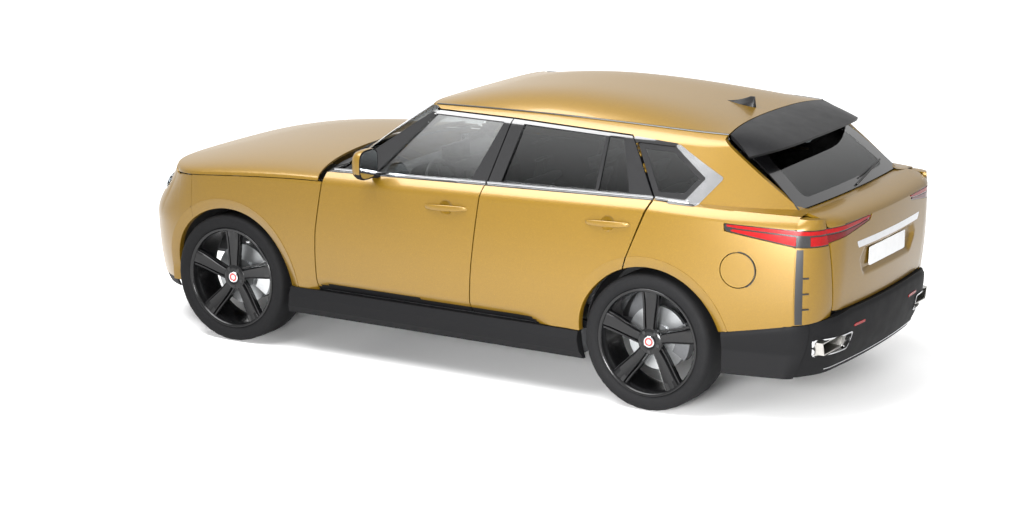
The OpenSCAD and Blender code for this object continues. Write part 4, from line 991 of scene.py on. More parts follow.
class CAR_OT_glass(CarOperator):
    """Windscreen, door glass and quarter glass"""
    bl_idname = "car.glass"
    bl_label = "Glass"

    def make(self, sizes, looks):
        u, w = np.meshgrid(np.linspace(1, 0, 40), np.linspace(1, -1, 49), indexing="ij")
        put("windscreen", wall(screen_point(u, w), 5.0), "tinted_float_glass", "body", "glass", ["windscreen"])
        t = np.linspace(0, 1, 40)
        wipers = []
        for start in (-0.05, 0.72):
            arm = screen_point(0.01 + 0.05 * t, start - 0.42 * t) + 16 * SCREEN_OUT
            blade = screen_point(0.045 + 0.03 * t, start - 0.2 - 0.55 * t) + 9 * SCREEN_OUT
            wipers += [carry(oval(5, 9, 12), arm, (0, 0, 1)), carry(oval(4, 8, 12), blade, (0, 0, 1))]
        put("windscreen_wipers", join(*wipers), "black_abs", "body", "black_plastic")
        panes = [("front_glass", FRONT_WINDOW, "door_front", "tinted_float_glass"),
                 ("rear_glass", REAR_WINDOW, "door_rear", "dark_privacy_glass")]
        for side in SIDES:
            for name, outline, body, material in panes:
                pane = side_sheet(grown(outline, 1.0), depth=14.0, t=5.0)
                put(f"{name}_{side}", sided(pane, side), material, f"{body}_{side}", "glass", [f"{name}_{side}"])
        pane = side_sheet(grown(QUARTER_WINDOW, 1.0), depth=14.0, t=5.0)
        put("quarter_glass", both(pane), "dark_privacy_glass", "body", "glass", ["quarter_glass"])


class CAR_OT_tail(CarOperator):
    """Tailgate, rear glass, spoiler, rear corners and rear bumper"""
    bl_idname = "car.tail"
    bl_label = "Tail"

    def make(self, sizes, looks):
        cols, rows = 110.0, 45.0
        recess = rounded([(-335, 812), (335, 812), (405, 915), (345, 988), (-345, 988), (-405, 915)], 25)

        def index(p):
            w = p[:, 0] / gate_half(p[:, 1])
            return np.stack([(w + 1) / 2 * cols, (p[:, 1] - gate_foot(w)) / (GATE_TOP - gate_foot(w)) * rows], 1)

        def place(ij):
            """Tailgate face: the tail's surface, stepped in smoothly within the plate's recess."""
            w = ij[:, 0] / cols * 2 - 1
            z = mix(gate_foot(w), GATE_TOP, ij[:, 1] / rows)
            y = w * gate_half(z)
            yz = np.stack([y, z], 1)
            _, gap = nearest(recess, yz)
            depth = 26 * ease(np.where(inside(recess, yz), gap, 0) / 32)
            return points(rear_x(y, z) + depth, y, z)

        lamp = dense(LAMP_GATE, 10)
        up = mix(gate_foot(1.0), GATE_TOP, np.linspace(0, 1, 40))
        down = mix(GATE_TOP, gate_foot(1.0), np.linspace(0, 1, 40))
        w_line = np.linspace(-1, 1, 80)
        frame_line = np.concatenate([
            np.stack([w_line * gate_half(gate_foot(w_line)), gate_foot(w_line)], 1),
            np.stack([gate_half(up), up], 1)[1:],
            np.stack([-w_line * gate_half(GATE_TOP), GATE_TOP + 0 * w_line], 1)[1:],
            np.stack([-gate_half(down), down], 1)[1:-1]])
        ij, f = cut_cells(index(frame_line), [index(lamp), index(lamp * (-1, 1))])
        face = thicken(place(ij), f, np.array([40.0, 0, 0]))
        w = np.linspace(-1, 1, int(cols) + 1)
        y = w * gate_half(GATE_TOP)
        knots = [points(rear_x(y, GATE_TOP), y, GATE_TOP),
                 points(rear_x(y, 1196.0) + 12, w * gate_half(1196.0), 1206.0),
                 points(GLASS_FOOT[0] - 60 + 34 * w * w, 708 * w, GLASS_FOOT[1] - 2),
                 points(GLASS_FOOT[0] + 10 + 30 * w * w, 690 * w, GLASS_FOOT[1] - 4)]
        t = np.linspace(0, 1, 14)[:, None, None]
        turn = knots[0] * sq(1 - t) + 2 * knots[1] * t * (1 - t) + knots[2] * sq(t)
        ledge = np.concatenate([turn, knots[3][None]])
        put("tailgate", join(face, wall(ledge, -18.0)), "gold_flake_lacquer", "tailgate", "paint", ["tailgate"])
        self.gate_trim(index, place)

        pane = [(0.09, 0.1), (0.91, 0.1), (0.9, 0.93), (0.1, 0.93)]
        size = np.array([60.0, 29.0])
        hole = rounded(np.array(pane) * size, 3.0)
        rim = np.array([(0, 0), (60, 0), (60, 29), (0, 29)], float)

        def glass_place(ij, inwards):
            p = glass_point(0.01 + 0.99 * ij[:, 1] / 29, ij[:, 0] / 30 - 1)
            return p - inwards * GLASS_OUT
        ij, f = cut_cells(dense(rim, 0.5), [hole])
        put("rear_glass_frit", thicken(glass_place(ij, 0.0), f, -6 * GLASS_OUT),
            "gloss_black_lacquer", "tailgate", "gloss_black")
        ij, f = cut_cells(hole)
        put("tailgate_glass", thicken(glass_place(ij, 0.3), f, -5 * GLASS_OUT),
            "dark_privacy_glass", "tailgate", "glass", ["tailgate_glass"])

        t = np.linspace(0, 1, 40)
        lift = 12 * GLASS_OUT
        arm = glass_point(0.035 + 0.09 * t, -0.08 - 0.5 * t) + lift
        blade = glass_point(0.09 + 0.07 * t, -0.2 - 0.62 * t) + 0.6 * lift
        put("rear_wiper", join(carry(oval(5, 8, 12), arm, (0, 0, 1)), carry(oval(4, 7, 12), blade, (0, 0, 1))),
            "black_abs", "tailgate", "black_plastic")

        across = np.linspace(-1, 1, 91)
        u, w = np.meshgrid(np.linspace(0, 1, 31), np.sign(across) * np.abs(across) ** 0.8, indexing="ij")
        top, low = spoiler_top(u, w), spoiler_low(u, w)
        put("spoiler", thicken(top.reshape(-1, 3), grid_faces(*u.shape), (low - top).reshape(-1, 3)),
            "satin_black_lacquer", "tailgate", "gloss_black", ["spoiler"])

        s, z = np.meshgrid(np.linspace(0, 1, 24), np.linspace(0, 1, 60), indexing="ij")
        bands = []
        for low_z, high_z in ((None, 1052.0), (1151.0, 1206.0)):
            bottom = corner_foot(mix(860.0, 650.0, s)) + 4 if low_z is None else low_z
            p = corner_point(s, mix(bottom, high_z, z))
            bands.append(wall(p, -20.0))
        rim, q = p[:, -1], np.linspace(0, 1, 24)
        apex = points(CORNER_X - SEAM - 30 * q, gate_half(1206.0) + GAP + 4 + 0 * q, 1206 - 4 * q)
        v = np.linspace(0, 1, 12)[None, :, None]
        cap = mix(rim[:, None], apex[:, None], v) + points(0, 0, 1) * 6 * v * (1 - v)
        bands.append(wall(cap, -8.0))
        put("rear_corners", both(join(*bands)), "gold_flake_lacquer", "body", "paint", ["rear_corners"])
        self.corner_trim()

        def foot_in(z):
            """How far the bumper's foot leans in: a parabola below 600 mm."""
            return 95 * sq(np.maximum(0, 600 - z) / 312)
        cols_b, rows_b = 130.0, 26.0
        reach = 800.0

        def back_index(p):
            top_z = corner_foot(p[:, 0]) - BUMPER_GAP
            row = (p[:, 1] - REAR_LOW) / (top_z - REAR_LOW) * rows_b
            return np.stack([(p[:, 0] + reach) / (2 * reach) * cols_b, row], 1)

        def round_top(z, top_z):
            """Rounding of the bumper's upper edge: a parabola over its last 22 mm."""
            return 10 * sq(np.clip(1 - (top_z - z) / 22, 0, 1))

        def back_place(ij):
            y = mix(-reach, reach, ij[:, 0] / cols_b)
            top_z = corner_foot(y) - BUMPER_GAP
            z = mix(REAR_LOW, top_z, ij[:, 1] / rows_b)
            return points(rear_x(y, PLAN_Z) + foot_in(z) + round_top(z, top_z), y, z)
        tip = rounded([(488, 413), (752, 413), (774, 512), (466, 512)], 14)
        ys = np.linspace(-reach, reach, 120)
        edge_line = np.concatenate([np.stack([ys, REAR_LOW + 0 * ys], 1),
                                    np.stack([ys[::-1], corner_foot(ys[::-1]) - BUMPER_GAP], 1)])
        ij, f = cut_cells(back_index(edge_line), [back_index(dense(tip, 8)), back_index(dense(tip * (-1, 1), 8))])
        back = thicken(back_place(ij), f, np.array([10.0, 0, 0]))
        t, v = np.meshgrid(np.linspace(0, 1, 60), np.linspace(0, 1, int(rows_b) + 1), indexing="ij")
        x = mix(REAR_AXLE - 457, CORNER_X + 60, np.clip(t / 0.6, 0, 1))
        top_side = bumper_line(x) - SEAM
        z_side = mix(REAR_LOW, top_side, v)
        flank = points(x, side_y(x, np.maximum(z_side, 430.0)) - round_top(z_side, top_side), z_side)
        end_top = corner_foot(reach) - BUMPER_GAP
        z_back = mix(REAR_LOW, end_top, v)
        end = points(rear_x(reach, PLAN_Z) + foot_in(z_back) + round_top(z_back, end_top), reach, z_back)
        knee_y = side_y(CORNER_X - 10.0, np.maximum(z_back, 430.0)) + 6
        knee = points(CORNER_X - 14 + 0.6 * foot_in(z_back), knee_y, z_back)
        q = np.clip((t - 0.6) / 0.4, 0, 1)[..., None]
        turned = flank * sq(1 - q) + 2 * knee * q * (1 - q) + end * sq(q)
        ys = np.linspace(-reach, reach, 91)
        v = np.linspace(0, 1, 5)[None, :]
        step_z = corner_foot(ys)[:, None] - BUMPER_GAP - 10 * v
        step = points(rear_x(ys, PLAN_Z)[:, None] + 10 + 50 * v, ys[:, None] + 0 * v, step_z)
        edge = turned[:, -1][:, None]
        in_side, in_back = [0.0, -60, -10], [60.0, 0, -10]
        inner = edge + np.concatenate([np.repeat([in_side], 36, 0), np.linspace(in_side, in_back, 24)])[:, None]
        side_step = mix(edge, inner, v[..., None])
        put("rear_bumper", join(back, both(wall(turned, 10.0)), wall(step, -6.0), both(wall(side_step, -6.0))),
            "grained_black_polypropylene", "body", "black_plastic", ["rear_bumper"])
        self.bumper_trim(back_index, back_place, tip)

    def gate_trim(self, index, place):
        """Tailgate lamps in bands on a black housing, bright bar, and a blank plate in its recess."""
        def patch(outline, out, t):
            """Plate cut from the tailgate's face, moved out by a distance."""
            ij, f = cut_cells(index(dense(outline, 10)))
            return thicken(place(ij) - (out, 0, 0), f, np.array([t, 0, 0]))
        pieces = [("tailgate_lamps", LAMP_GATE, -5.0, 24.0, "gloss_black_lacquer", "gloss_black", ["tailgate_lamps"]),
                  ("gate_lamp_bands", [(729, 1121), (729, 1146), (292, 1156), (298, 1146), (420, 1134)], 0.0, 9.0,
                   "red_acrylic", "lamp_red", []),
                  ("gate_lamp_wedges", [(729, 1066), (729, 1110), (420, 1127), (318, 1139), (310, 1131)], -1.0, 8.0,
                   "dark_red_acrylic", "lamp_red", [])]
        for name, outline, out, t, material, slot, nodes in pieces:
            put(name, both(patch(np.array(outline, float), out, t)), material, "tailgate", slot, nodes)
        bar = rounded([(-428, 990), (428, 990), (450, 1030), (-450, 1030)], 5)
        put("tailgate_bar", patch(bar, 0.8, 4.0), "chromed_abs", "tailgate", "alloy")
        plate = rounded([(-258, 850), (258, 850), (258, 958), (-258, 958)], 8)
        ij, f = cut_cells(index(dense(plate, 10)))
        flat = place(ij)
        flat[:, 0] = TAIL_X + 26
        put("blank_plate", thicken(flat, f, np.array([3.0, 0, 0])), "white_plate_enamel", "tailgate", "black_plastic")

    def corner_trim(self):
        """Side and corner lamps in bands on a black housing, and the black vent slits with their fins."""
        def bands(side_outline, low, high, out, t, s0=0.0, s1=1.0):
            """One band of the lamp: a sheet on the side and its run round the corner, both set in by out."""
            s, z = np.meshgrid(np.linspace(s0, s1, 24), np.linspace(low, high, 9), indexing="ij")
            skin = corner_point(s, z)
            return join(side_sheet(side_outline, (), out, t), wall(skin - normals(skin) * out, -t))
        end = CORNER_X + 0.5
        housing = bands([(end, 1054), (-1852, 1116), (-1846, 1157), (end, 1149)], 1054.0, 1149.0, 6.0, 20.0)
        top = bands([(end, 1122), (-1930, 1136), (-1864, 1143), (-1862, 1153), (end, 1145)], 1122.0, 1145.0, 0.5, 9.0)
        wedge = bands([(end, 1060), (-1890, 1117), (-1880, 1130), (end, 1112)], 1060.0, 1112.0, 2.0, 8.0, 0.4, 1.0)
        put("tail_lamps", both(housing), "gloss_black_lacquer", "body", "gloss_black", ["tail_lamps"])
        put("tail_lamp_bands", both(top), "red_acrylic", "body", "lamp_red")
        put("tail_lamp_wedges", both(wedge), "red_acrylic", "body", "lamp_red")
        s, z = np.meshgrid(np.linspace(0.03, 0.2, 8), np.linspace(612, 1042, 50), indexing="ij")
        slit = corner_point(s, z)
        shapes = [wall(slit + normals(slit) * 1.0, -6.0)]
        for level in (700.0, 790.0, 880.0):
            s = np.linspace(0.2, 0.34, 10)
            path = corner_point(s, level + 0 * s)
            shapes.append(carry(oval(7, 5, 12, 3), path, (0, 0, 1)))
        put("corner_vents", both(join(*shapes)), "black_abs", "body", "black_plastic")

    def bumper_trim(self, back_index, back_place, tip):
        """Bright frames round the tail pipes, red reflectors, and a bright line along the bumper's foot."""
        ij, f = cut_cells(back_index(dense(grown(tip, 3), 8)), [back_index(dense(grown(tip, -5), 8))])
        put("exhaust_frames", both(thicken(back_place(ij) - (7.0, 0, 0), f, np.array([30.0, 0, 0]))), "chromed_abs",
            "body", "alloy")
        strip = rounded([(318, 536), (452, 536), (452, 552), (318, 552)], 5)
        ij, f = cut_cells(back_index(dense(strip, 4)))
        # The reflectors' faint red glow comes from the lens material: painted light, for they are no lamp
        put("rear_reflectors", both(thicken(back_place(ij) - (3.0, 0, 0), f, np.array([8.0, 0, 0]))), "red_acrylic",
            "body", "lamp_red")
        y = np.linspace(-640, 640, 80)
        path = back_place(back_index(np.stack([y, np.full(80, 318.0)], 1))) - (2.0, 0, 0)
        put("bumper_foot_line", carry(oval(4, 4, 10), path, (0, 0, 1)), "chromed_abs", "body", "alloy")


class CAR_OT_wheels(CarOperator):
    """Tyres and spoked rims with nuts and caps"""
    bl_idname = "car.wheels"
    bl_label = "Wheels"

    def make(self, sizes, looks):
        half = [(313, 112), (320, 119), (334, 131.5), (352, 137), (376, 136.5), (391, 130.5), (402, 114), (405, 92),
                (406, 62)]
        tread = np.array(half + [(r, -y) for r, y in half[::-1]], float)
        tyre = spin(tread, 40)
        bead = 312.0
        rim = np.array([(bead - 14, -126), (bead + 6, -126), (bead + 6, -119.5), (bead - 0.5, -113), (bead - 0.5, 113),
                        (bead + 6, 119.5), (bead + 7, 124), (bead + 4, 126.5), (bead - 4, 126), (bead - 10, 122),
                        (bead - 16, 108), (bead - 22, 60), (bead - 22, -90)], float)
        barrel = spin(rim, 96)
        r = np.linspace(52, bead - 9, 30)
        q = (r - 52) / (r[-1] - 52)
        centre = -14 * ease((r - 90) / 200)
        half_w = mix(23.0, 43.0, q ** 1.15)
        face = 86 + 30 * q ** 1.6
        blade_section = np.array([(-1, -1), (-1, 0.45), (-0.93, 0.85), (-0.82, 1.0), (-0.3, 0.94), (0.3, 0.94),
                                  (0.82, 1.0), (0.93, 0.85), (1, 0.45), (1, -1)])

        def bar(middle, width, top, depth):
            """Spoke: a section carried outwards, its width and face as functions of the radius."""
            t = middle[:, None] + width[:, None] * blade_section[None, :, 0]
            y = top[:, None] - depth * (1 - blade_section[None, :, 1]) / 2
            return loft(points(t, y, np.sqrt(np.maximum(sq(r[:, None]) - sq(t), 1))))
        blade = bar(centre, half_w, face, 44.0)
        rib = bar(centre + half_w + 15 - 4 * q, 5 + 2 * q, face - 7, 34.0)
        rib_b = bar(centre - half_w - 5, 2 + 1 * q, face - 12, 26.0)
        shapes = [barrel]
        for k in range(sizes.spokes):
            a = k * 2 * math.pi / sizes.spokes
            c, s = math.cos(a), math.sin(a)
            turn = np.array([[c, 0, -s], [0, 1, 0], [s, 0, c]])
            shapes += [(v @ turn, f) for v, f in (blade, rib, rib_b)]
        hub = [(0.01, 60), (76, 60), (80, 72), (78, 84), (70, 90), (46, 93), (40, 90), (30, 86), (0.01, 86)]
        shapes.append(spin(np.array(hub, float), 60, False))
        rim_shape = join(*shapes)
        nut = loft(np.stack([points(oval(k, k, 12)[:, 0], h, oval(k, k, 12)[:, 1])
                             for k, h in ((11, 84), (11, 92), (9.5, 95), (5, 95.5))]))
        nuts = []
        for k in range(5):
            a = (k + 0.5) * 2 * math.pi / 5
            nuts.append((nut[0] + np.array([60 * math.sin(a), 0, 60 * math.cos(a)]), nut[1]))
        cap = [(0.01, 90), (34, 90), (34, 97), (31, 100), (27, 100), (25.5, 98.5), (0.01, 98.5)]
        cap = spin(np.array(cap, float), 48, False)
        ring = spin(np.array([(15, 98), (25, 98), (25, 99.6), (15, 99.6)], float), 48)
        for axle, ax in (("front", FRONT_AXLE), ("rear", REAR_AXLE)):
            for side in SIDES:
                at = np.array([ax, WHEEL_Y if side == "left" else -WHEEL_Y, AXLE_Z])
                body = f"wheel_{axle}_{side}"
                pieces = [(f"tyre_{axle}_{side}", tyre, "tyre_rubber", "tyre", [f"tyre_{axle}_{side}"]),
                          (f"rim_{axle}_{side}", rim_shape, "dark_lacquered_alloy", "alloy", [f"rim_{axle}_{side}"]),
                          (f"nuts_{axle}_{side}", join(*nuts), "black_abs", "black_plastic", []),
                          (f"cap_{axle}_{side}", cap, "chromed_abs", "alloy", []),
                          (f"cap_ring_{axle}_{side}", ring, "red_enamel", "lamp_red", [])]
                for name, shape, material, slot, nodes in pieces:
                    v, f = sided(shape, side)
                    put(name, (v + at, f), material, body, slot, nodes, 40.0)


class CAR_OT_nose(CarOperator):
    """Front bumper with its black lip, and headlamps with lenses, bowls and light guides"""
    bl_idname = "car.nose"
    bl_label = "Nose"

    def make(self, sizes, looks):
        cols, rows = 170.0, 56.0
        lip = 0.075
        out = ARCH_R + ARCH_LIP

        def index(p):
            return (bumper_place(np.asarray(p, float)) * (0.5, 1) + (0.5, 0)) * (cols, rows)

        def place(ij, inset=0.0):
            return bumper_point(ij[:, 0] / cols * 2 - 1, ij[:, 1] / rows, inset)

        def arch_side(v):
            """Share of the way round at which the bumper meets the wheel arch, by halving."""
            lo, hi = np.zeros(len(v)), np.ones(len(v))
            for _ in range(24):
                t = (lo + hi) / 2
                p = bumper_point(t, v)
                clear = sq(p[:, 0] - FRONT_AXLE) + sq(p[:, 2] - AXLE_Z) > sq(out)
                lo, hi = np.where(clear, t, lo), np.where(clear, hi, t)
            return t

        def layer(ij, f, near, far):
            """Closed sheet between two insets from the nose."""
            return thicken(place(ij, near), f, place(ij, far) - place(ij, near))

        def field(v0, v1):
            """Outline of the bumper between two shares of its height, from arch to arch."""
            v = np.linspace(v0, v1, 60)
            side = np.stack([arch_side(v), v], 1)
            whole = np.concatenate([side, (side * (-1, 1))[::-1]])
            return dense((whole * (0.5, 1) + (0.5, 0)) * (cols, rows), 0.5)

        holes = [dense(o, 10) for o in (GRILLE, INTAKE, HEADLAMP, [(-y, z) for y, z in HEADLAMP[::-1]])]
        ij, f = cut_cells(field(lip, 1.0), [index(h) for h in holes])
        skin = layer(ij, f, 0.0, 12.0)
        start = np.arcsin((BUMPER_LOW + lip * 732 - AXLE_Z) / LIP_R)
        end = np.arccos((WING_FRONT + SEAM - FRONT_AXLE) / LIP_R)
        put("front_bumper", join(skin, both(arch_lip(FRONT_AXLE, end, start, 40))), "gold_flake_lacquer", "body",
            "paint", ["front_bumper"])
        ij, f = cut_cells(field(0.0, lip))
        put("front_lip", layer(ij, f, 2.0, 14.0), "grained_black_polypropylene", "body", "black_plastic")
        ij, f = cut_cells(index(dense(HEADLAMP, 8)))
        put("headlamps", both(layer(ij, f, 0.5, 3.5)), "clear_polycarbonate", "body", "lamp_clear", ["headlamps"])
        put("headlamp_backs", both(layer(ij, f, 8.0, 50.0)), "gloss_black_lacquer", "body", "gloss_black")
        bowl = np.array([(6, 2), (22, 1), (28, -1), (30, 0), (24, 3), (6, 3.5)], float)
        bowls = []
        for y, z in ((640, 924), (708, 918), (768, 912)):
            v, f = spin(bowl, 40)
            at = bumper_point(*(bumper_place(np.array([(y, z)], float)).T), 7.0)[0]
            bowls.append(outwards(v[:, [1, 0, 2]] * (-1, 1, 1) + at, f))
        put("headlamp_bowls", both(join(*bowls)), "lamp_reflector", "body", "lamp_clear")
        guide = line([(582, 900), (784, 879), (796, 944)], 50)
        path = bumper_point(*bumper_place(guide).T, 6.5)
        put("headlamp_guides", both(carry(oval(3, 3, 10), path, (1, 0, 0.2))), "white_plate_enamel", "body",
            "lamp_clear")
        self.grille(index, place, layer)

    def grille(self, index, place, layer):
        """Grille and intake: a frame just inside each opening, slats across it and a dark plate behind."""
        shapes = []
        for outline, heights in ((GRILLE, np.linspace(690, 870, 5)), (INTAKE, (395, 455))):
            ring = np.array(outline, float)
            ij, f = cut_cells(index(dense(grown(ring, -1.5), 12)), [index(dense(grown(ring, -24), 12))])
            shapes.append(layer(ij, f, 6.0, 30.0))
            ij, f = cut_cells(index(dense(grown(ring, -1.5), 12)))
            shapes.append(layer(ij, f, 58.0, 64.0))
            for z in heights:
                right = ring[:3]
                half = np.interp(z, right[:, 1], right[:, 0]) - 12
                across = np.stack([np.linspace(-half, half, 60), np.full(60, z)], 1)
                path = place(index(across), 22.0)
                shapes.append(carry(oval(12, 8, 16, 4), path, (0, 0, 1)))
        put("grille", join(*shapes), "gloss_black_lacquer", "body", "gloss_black", ["grille"])


class CAR_OT_side_trim(CarOperator):
    """Bright waist strips and blades, pillar covers, handles, door mirrors, fuel flap and roof fin"""
    bl_idname = "car.side_trim"
    bl_label = "Side trim"

    def make(self, sizes, looks):
        def strip(x0, x1):
            """Bright bar along the waist between two places."""
            x = np.linspace(x0, x1, max(8, int(abs(x1 - x0) / 25)))
            z = belt(x) + LEDGE + 4
            return carry(oval(4, sizes.strip_h / MM / 2, 14, 4), points(x, high_side(x, z) + 2, z), (0, 0, 1))
        blade = side_sheet([(-1480, 1228), (-1646, 1226), (-1658, 1232), (-1768, 1372), (-1766, 1384), (-1476, 1538),
                            (-1455, 1532), (-1480, 1400)], [QUARTER_WINDOW], -3.0, 9.0)
        cover = side_sheet([(-1397, 1236), (-1480, 1232), (-1480, 1400), (-1462, 1541), (-1190, 1556), (-1176, 1551)],
                           [QUARTER_WINDOW], -1.0, 8.0)
        border = side_sheet(grown(QUARTER_WINDOW, -0.5), [grown(QUARTER_WINDOW, -34)], 12.0, 3.0)
        divider = side_sheet([(-1020, 1243), (-998, 1242), (-992, 1545), (-1014, 1545)], (), 7.0, 12.0)
        handles = []
        for x0, z0 in HANDLES:
            t = np.linspace(0, 1, 40)
            x = x0 + 146 - 292 * t
            z = z0 + 14 * (t - 0.5)
            rise = np.sin(math.pi * t) ** 0.5
            path = points(x, side_y(x, z) - 5 + 27 * rise, z)
            handles.append(carry(oval(8, 18, 18, 3), path, (0, 0, 1), 0.45 + 0.55 * rise))
        mx, mz = MIRROR
        my = float(side_y(mx, mz))
        ring = oval(1, 1, 56, 3.4)

        def mirror_rings(sections):
            """Superellipses about the mirror's middle, each at a place along the car with its two half sizes."""
            return np.stack([points(x, my + 120 + w * ring[:, 0], mz + 101 + h * ring[:, 1]) for x, w, h in sections])
        head = loft(mirror_rings([(428, 98, 88), (430, 101, 91), (446, 101, 92), (466, 98, 89), (486, 88, 80),
                                  (500, 72, 66), (508, 52, 48), (511, 26, 24)]) + (22.0, 0, 0))
        foot_path = line([(mx + 30, my - 8, mz + 4), (mx + 28, my + 30, mz + 10), (mx + 26, my + 70, mz + 30)], 16)
        foot = carry(oval(30, 11, 20, 3), foot_path, (0, 0, 1))
        face = loft(mirror_rings([(x, 92 * k, 82 * k) for x, k in ((mx - 3, 0.97), (mx - 3, 1.0), (mx + 4, 1.0))]))
        for side in SIDES:
            front, rear = f"door_front_{side}", f"door_rear_{side}"
            parts = [
                (f"waist_strip_front_{side}", strip(800, B_WAIST[0] + 2), "chromed_abs", front, "alloy"),
                (f"waist_strip_rear_{side}", strip(B_WAIST[0] - HINGE_GAP - 2, C_WAIST[0] + 6), "chromed_abs", rear,
                 "alloy"),
                (f"pillar_blade_{side}", join(blade, strip(C_WAIST[0] - HINGE_GAP, -1600)), "chromed_abs", "body",
                 "alloy"),
                (f"pillar_cover_{side}", cover, "gloss_black_lacquer", "body", "gloss_black"),
                (f"quarter_border_{side}", border, "gloss_black_lacquer", "body", "gloss_black"),
                (f"window_divider_{side}", divider, "gloss_black_lacquer", rear, "gloss_black"),
                (f"handle_front_{side}", handles[0], "gold_flake_lacquer", front, "paint"),
                (f"handle_rear_{side}", handles[1], "gold_flake_lacquer", rear, "paint"),
                (f"mirror_glass_{side}", face, "silvered_glass", front, "glass"),
                (f"mirror_foot_{side}", foot, "grained_black_polypropylene", front, "black_plastic"),
            ]
            for name, shape, material, body, slot in parts:
                put(name, sided(shape, side), material, body, slot)
            put(f"mirror_{side}", sided(head, side), "gold_flake_lacquer", front, "paint", [f"mirror_{side}"],
                other=("grained_black_polypropylene", lambda mid: (mid[:, 2] < mz + 52) | (mid[:, 0] < mx - 1)))

        put("fuel_flap", side_sheet(circle(FLAP, FLAP_R), t=12.0), "gold_flake_lacquer", "body", "paint")
        at = np.array([FLAP[0], float(side_y(*FLAP)), FLAP[1]])
        pocket = spin(np.array([(103.2, -6), (108, -6), (108, -47), (0.01, -47), (0.01, -44), (103.2, -44)], float), 64)
        cap = spin(np.array([(0.01, -23), (26, -23), (31, -27), (32, -44), (0.01, -44)], float), 48)
        put("fuel_pocket", join(*((v + at, f) for v, f in (pocket, cap))), "black_abs", "body", "black_plastic")

        h = np.linspace(0, 1, 14)[:, None]
        base = oval(1, 1, 40, 2.4)
        nose, tail = mix(-1398.0, -1552.0, h ** 0.85), mix(-1588.0, -1581.0, h)
        x = (nose + tail) / 2 + (nose - tail) / 2 * base[None, :, 0]
        y = (20 * (1 - h) ** 0.8 + 2.5) * base[None, :, 1] * (0.55 + 0.45 * np.clip((nose - x) / 90, 0, 1))
        put("roof_fin", loft(points(x, y, mix(crown_z(x) - 0.5, 1705.5 + 0 * x, h))), "satin_black_lacquer", "body",
            "gloss_black")


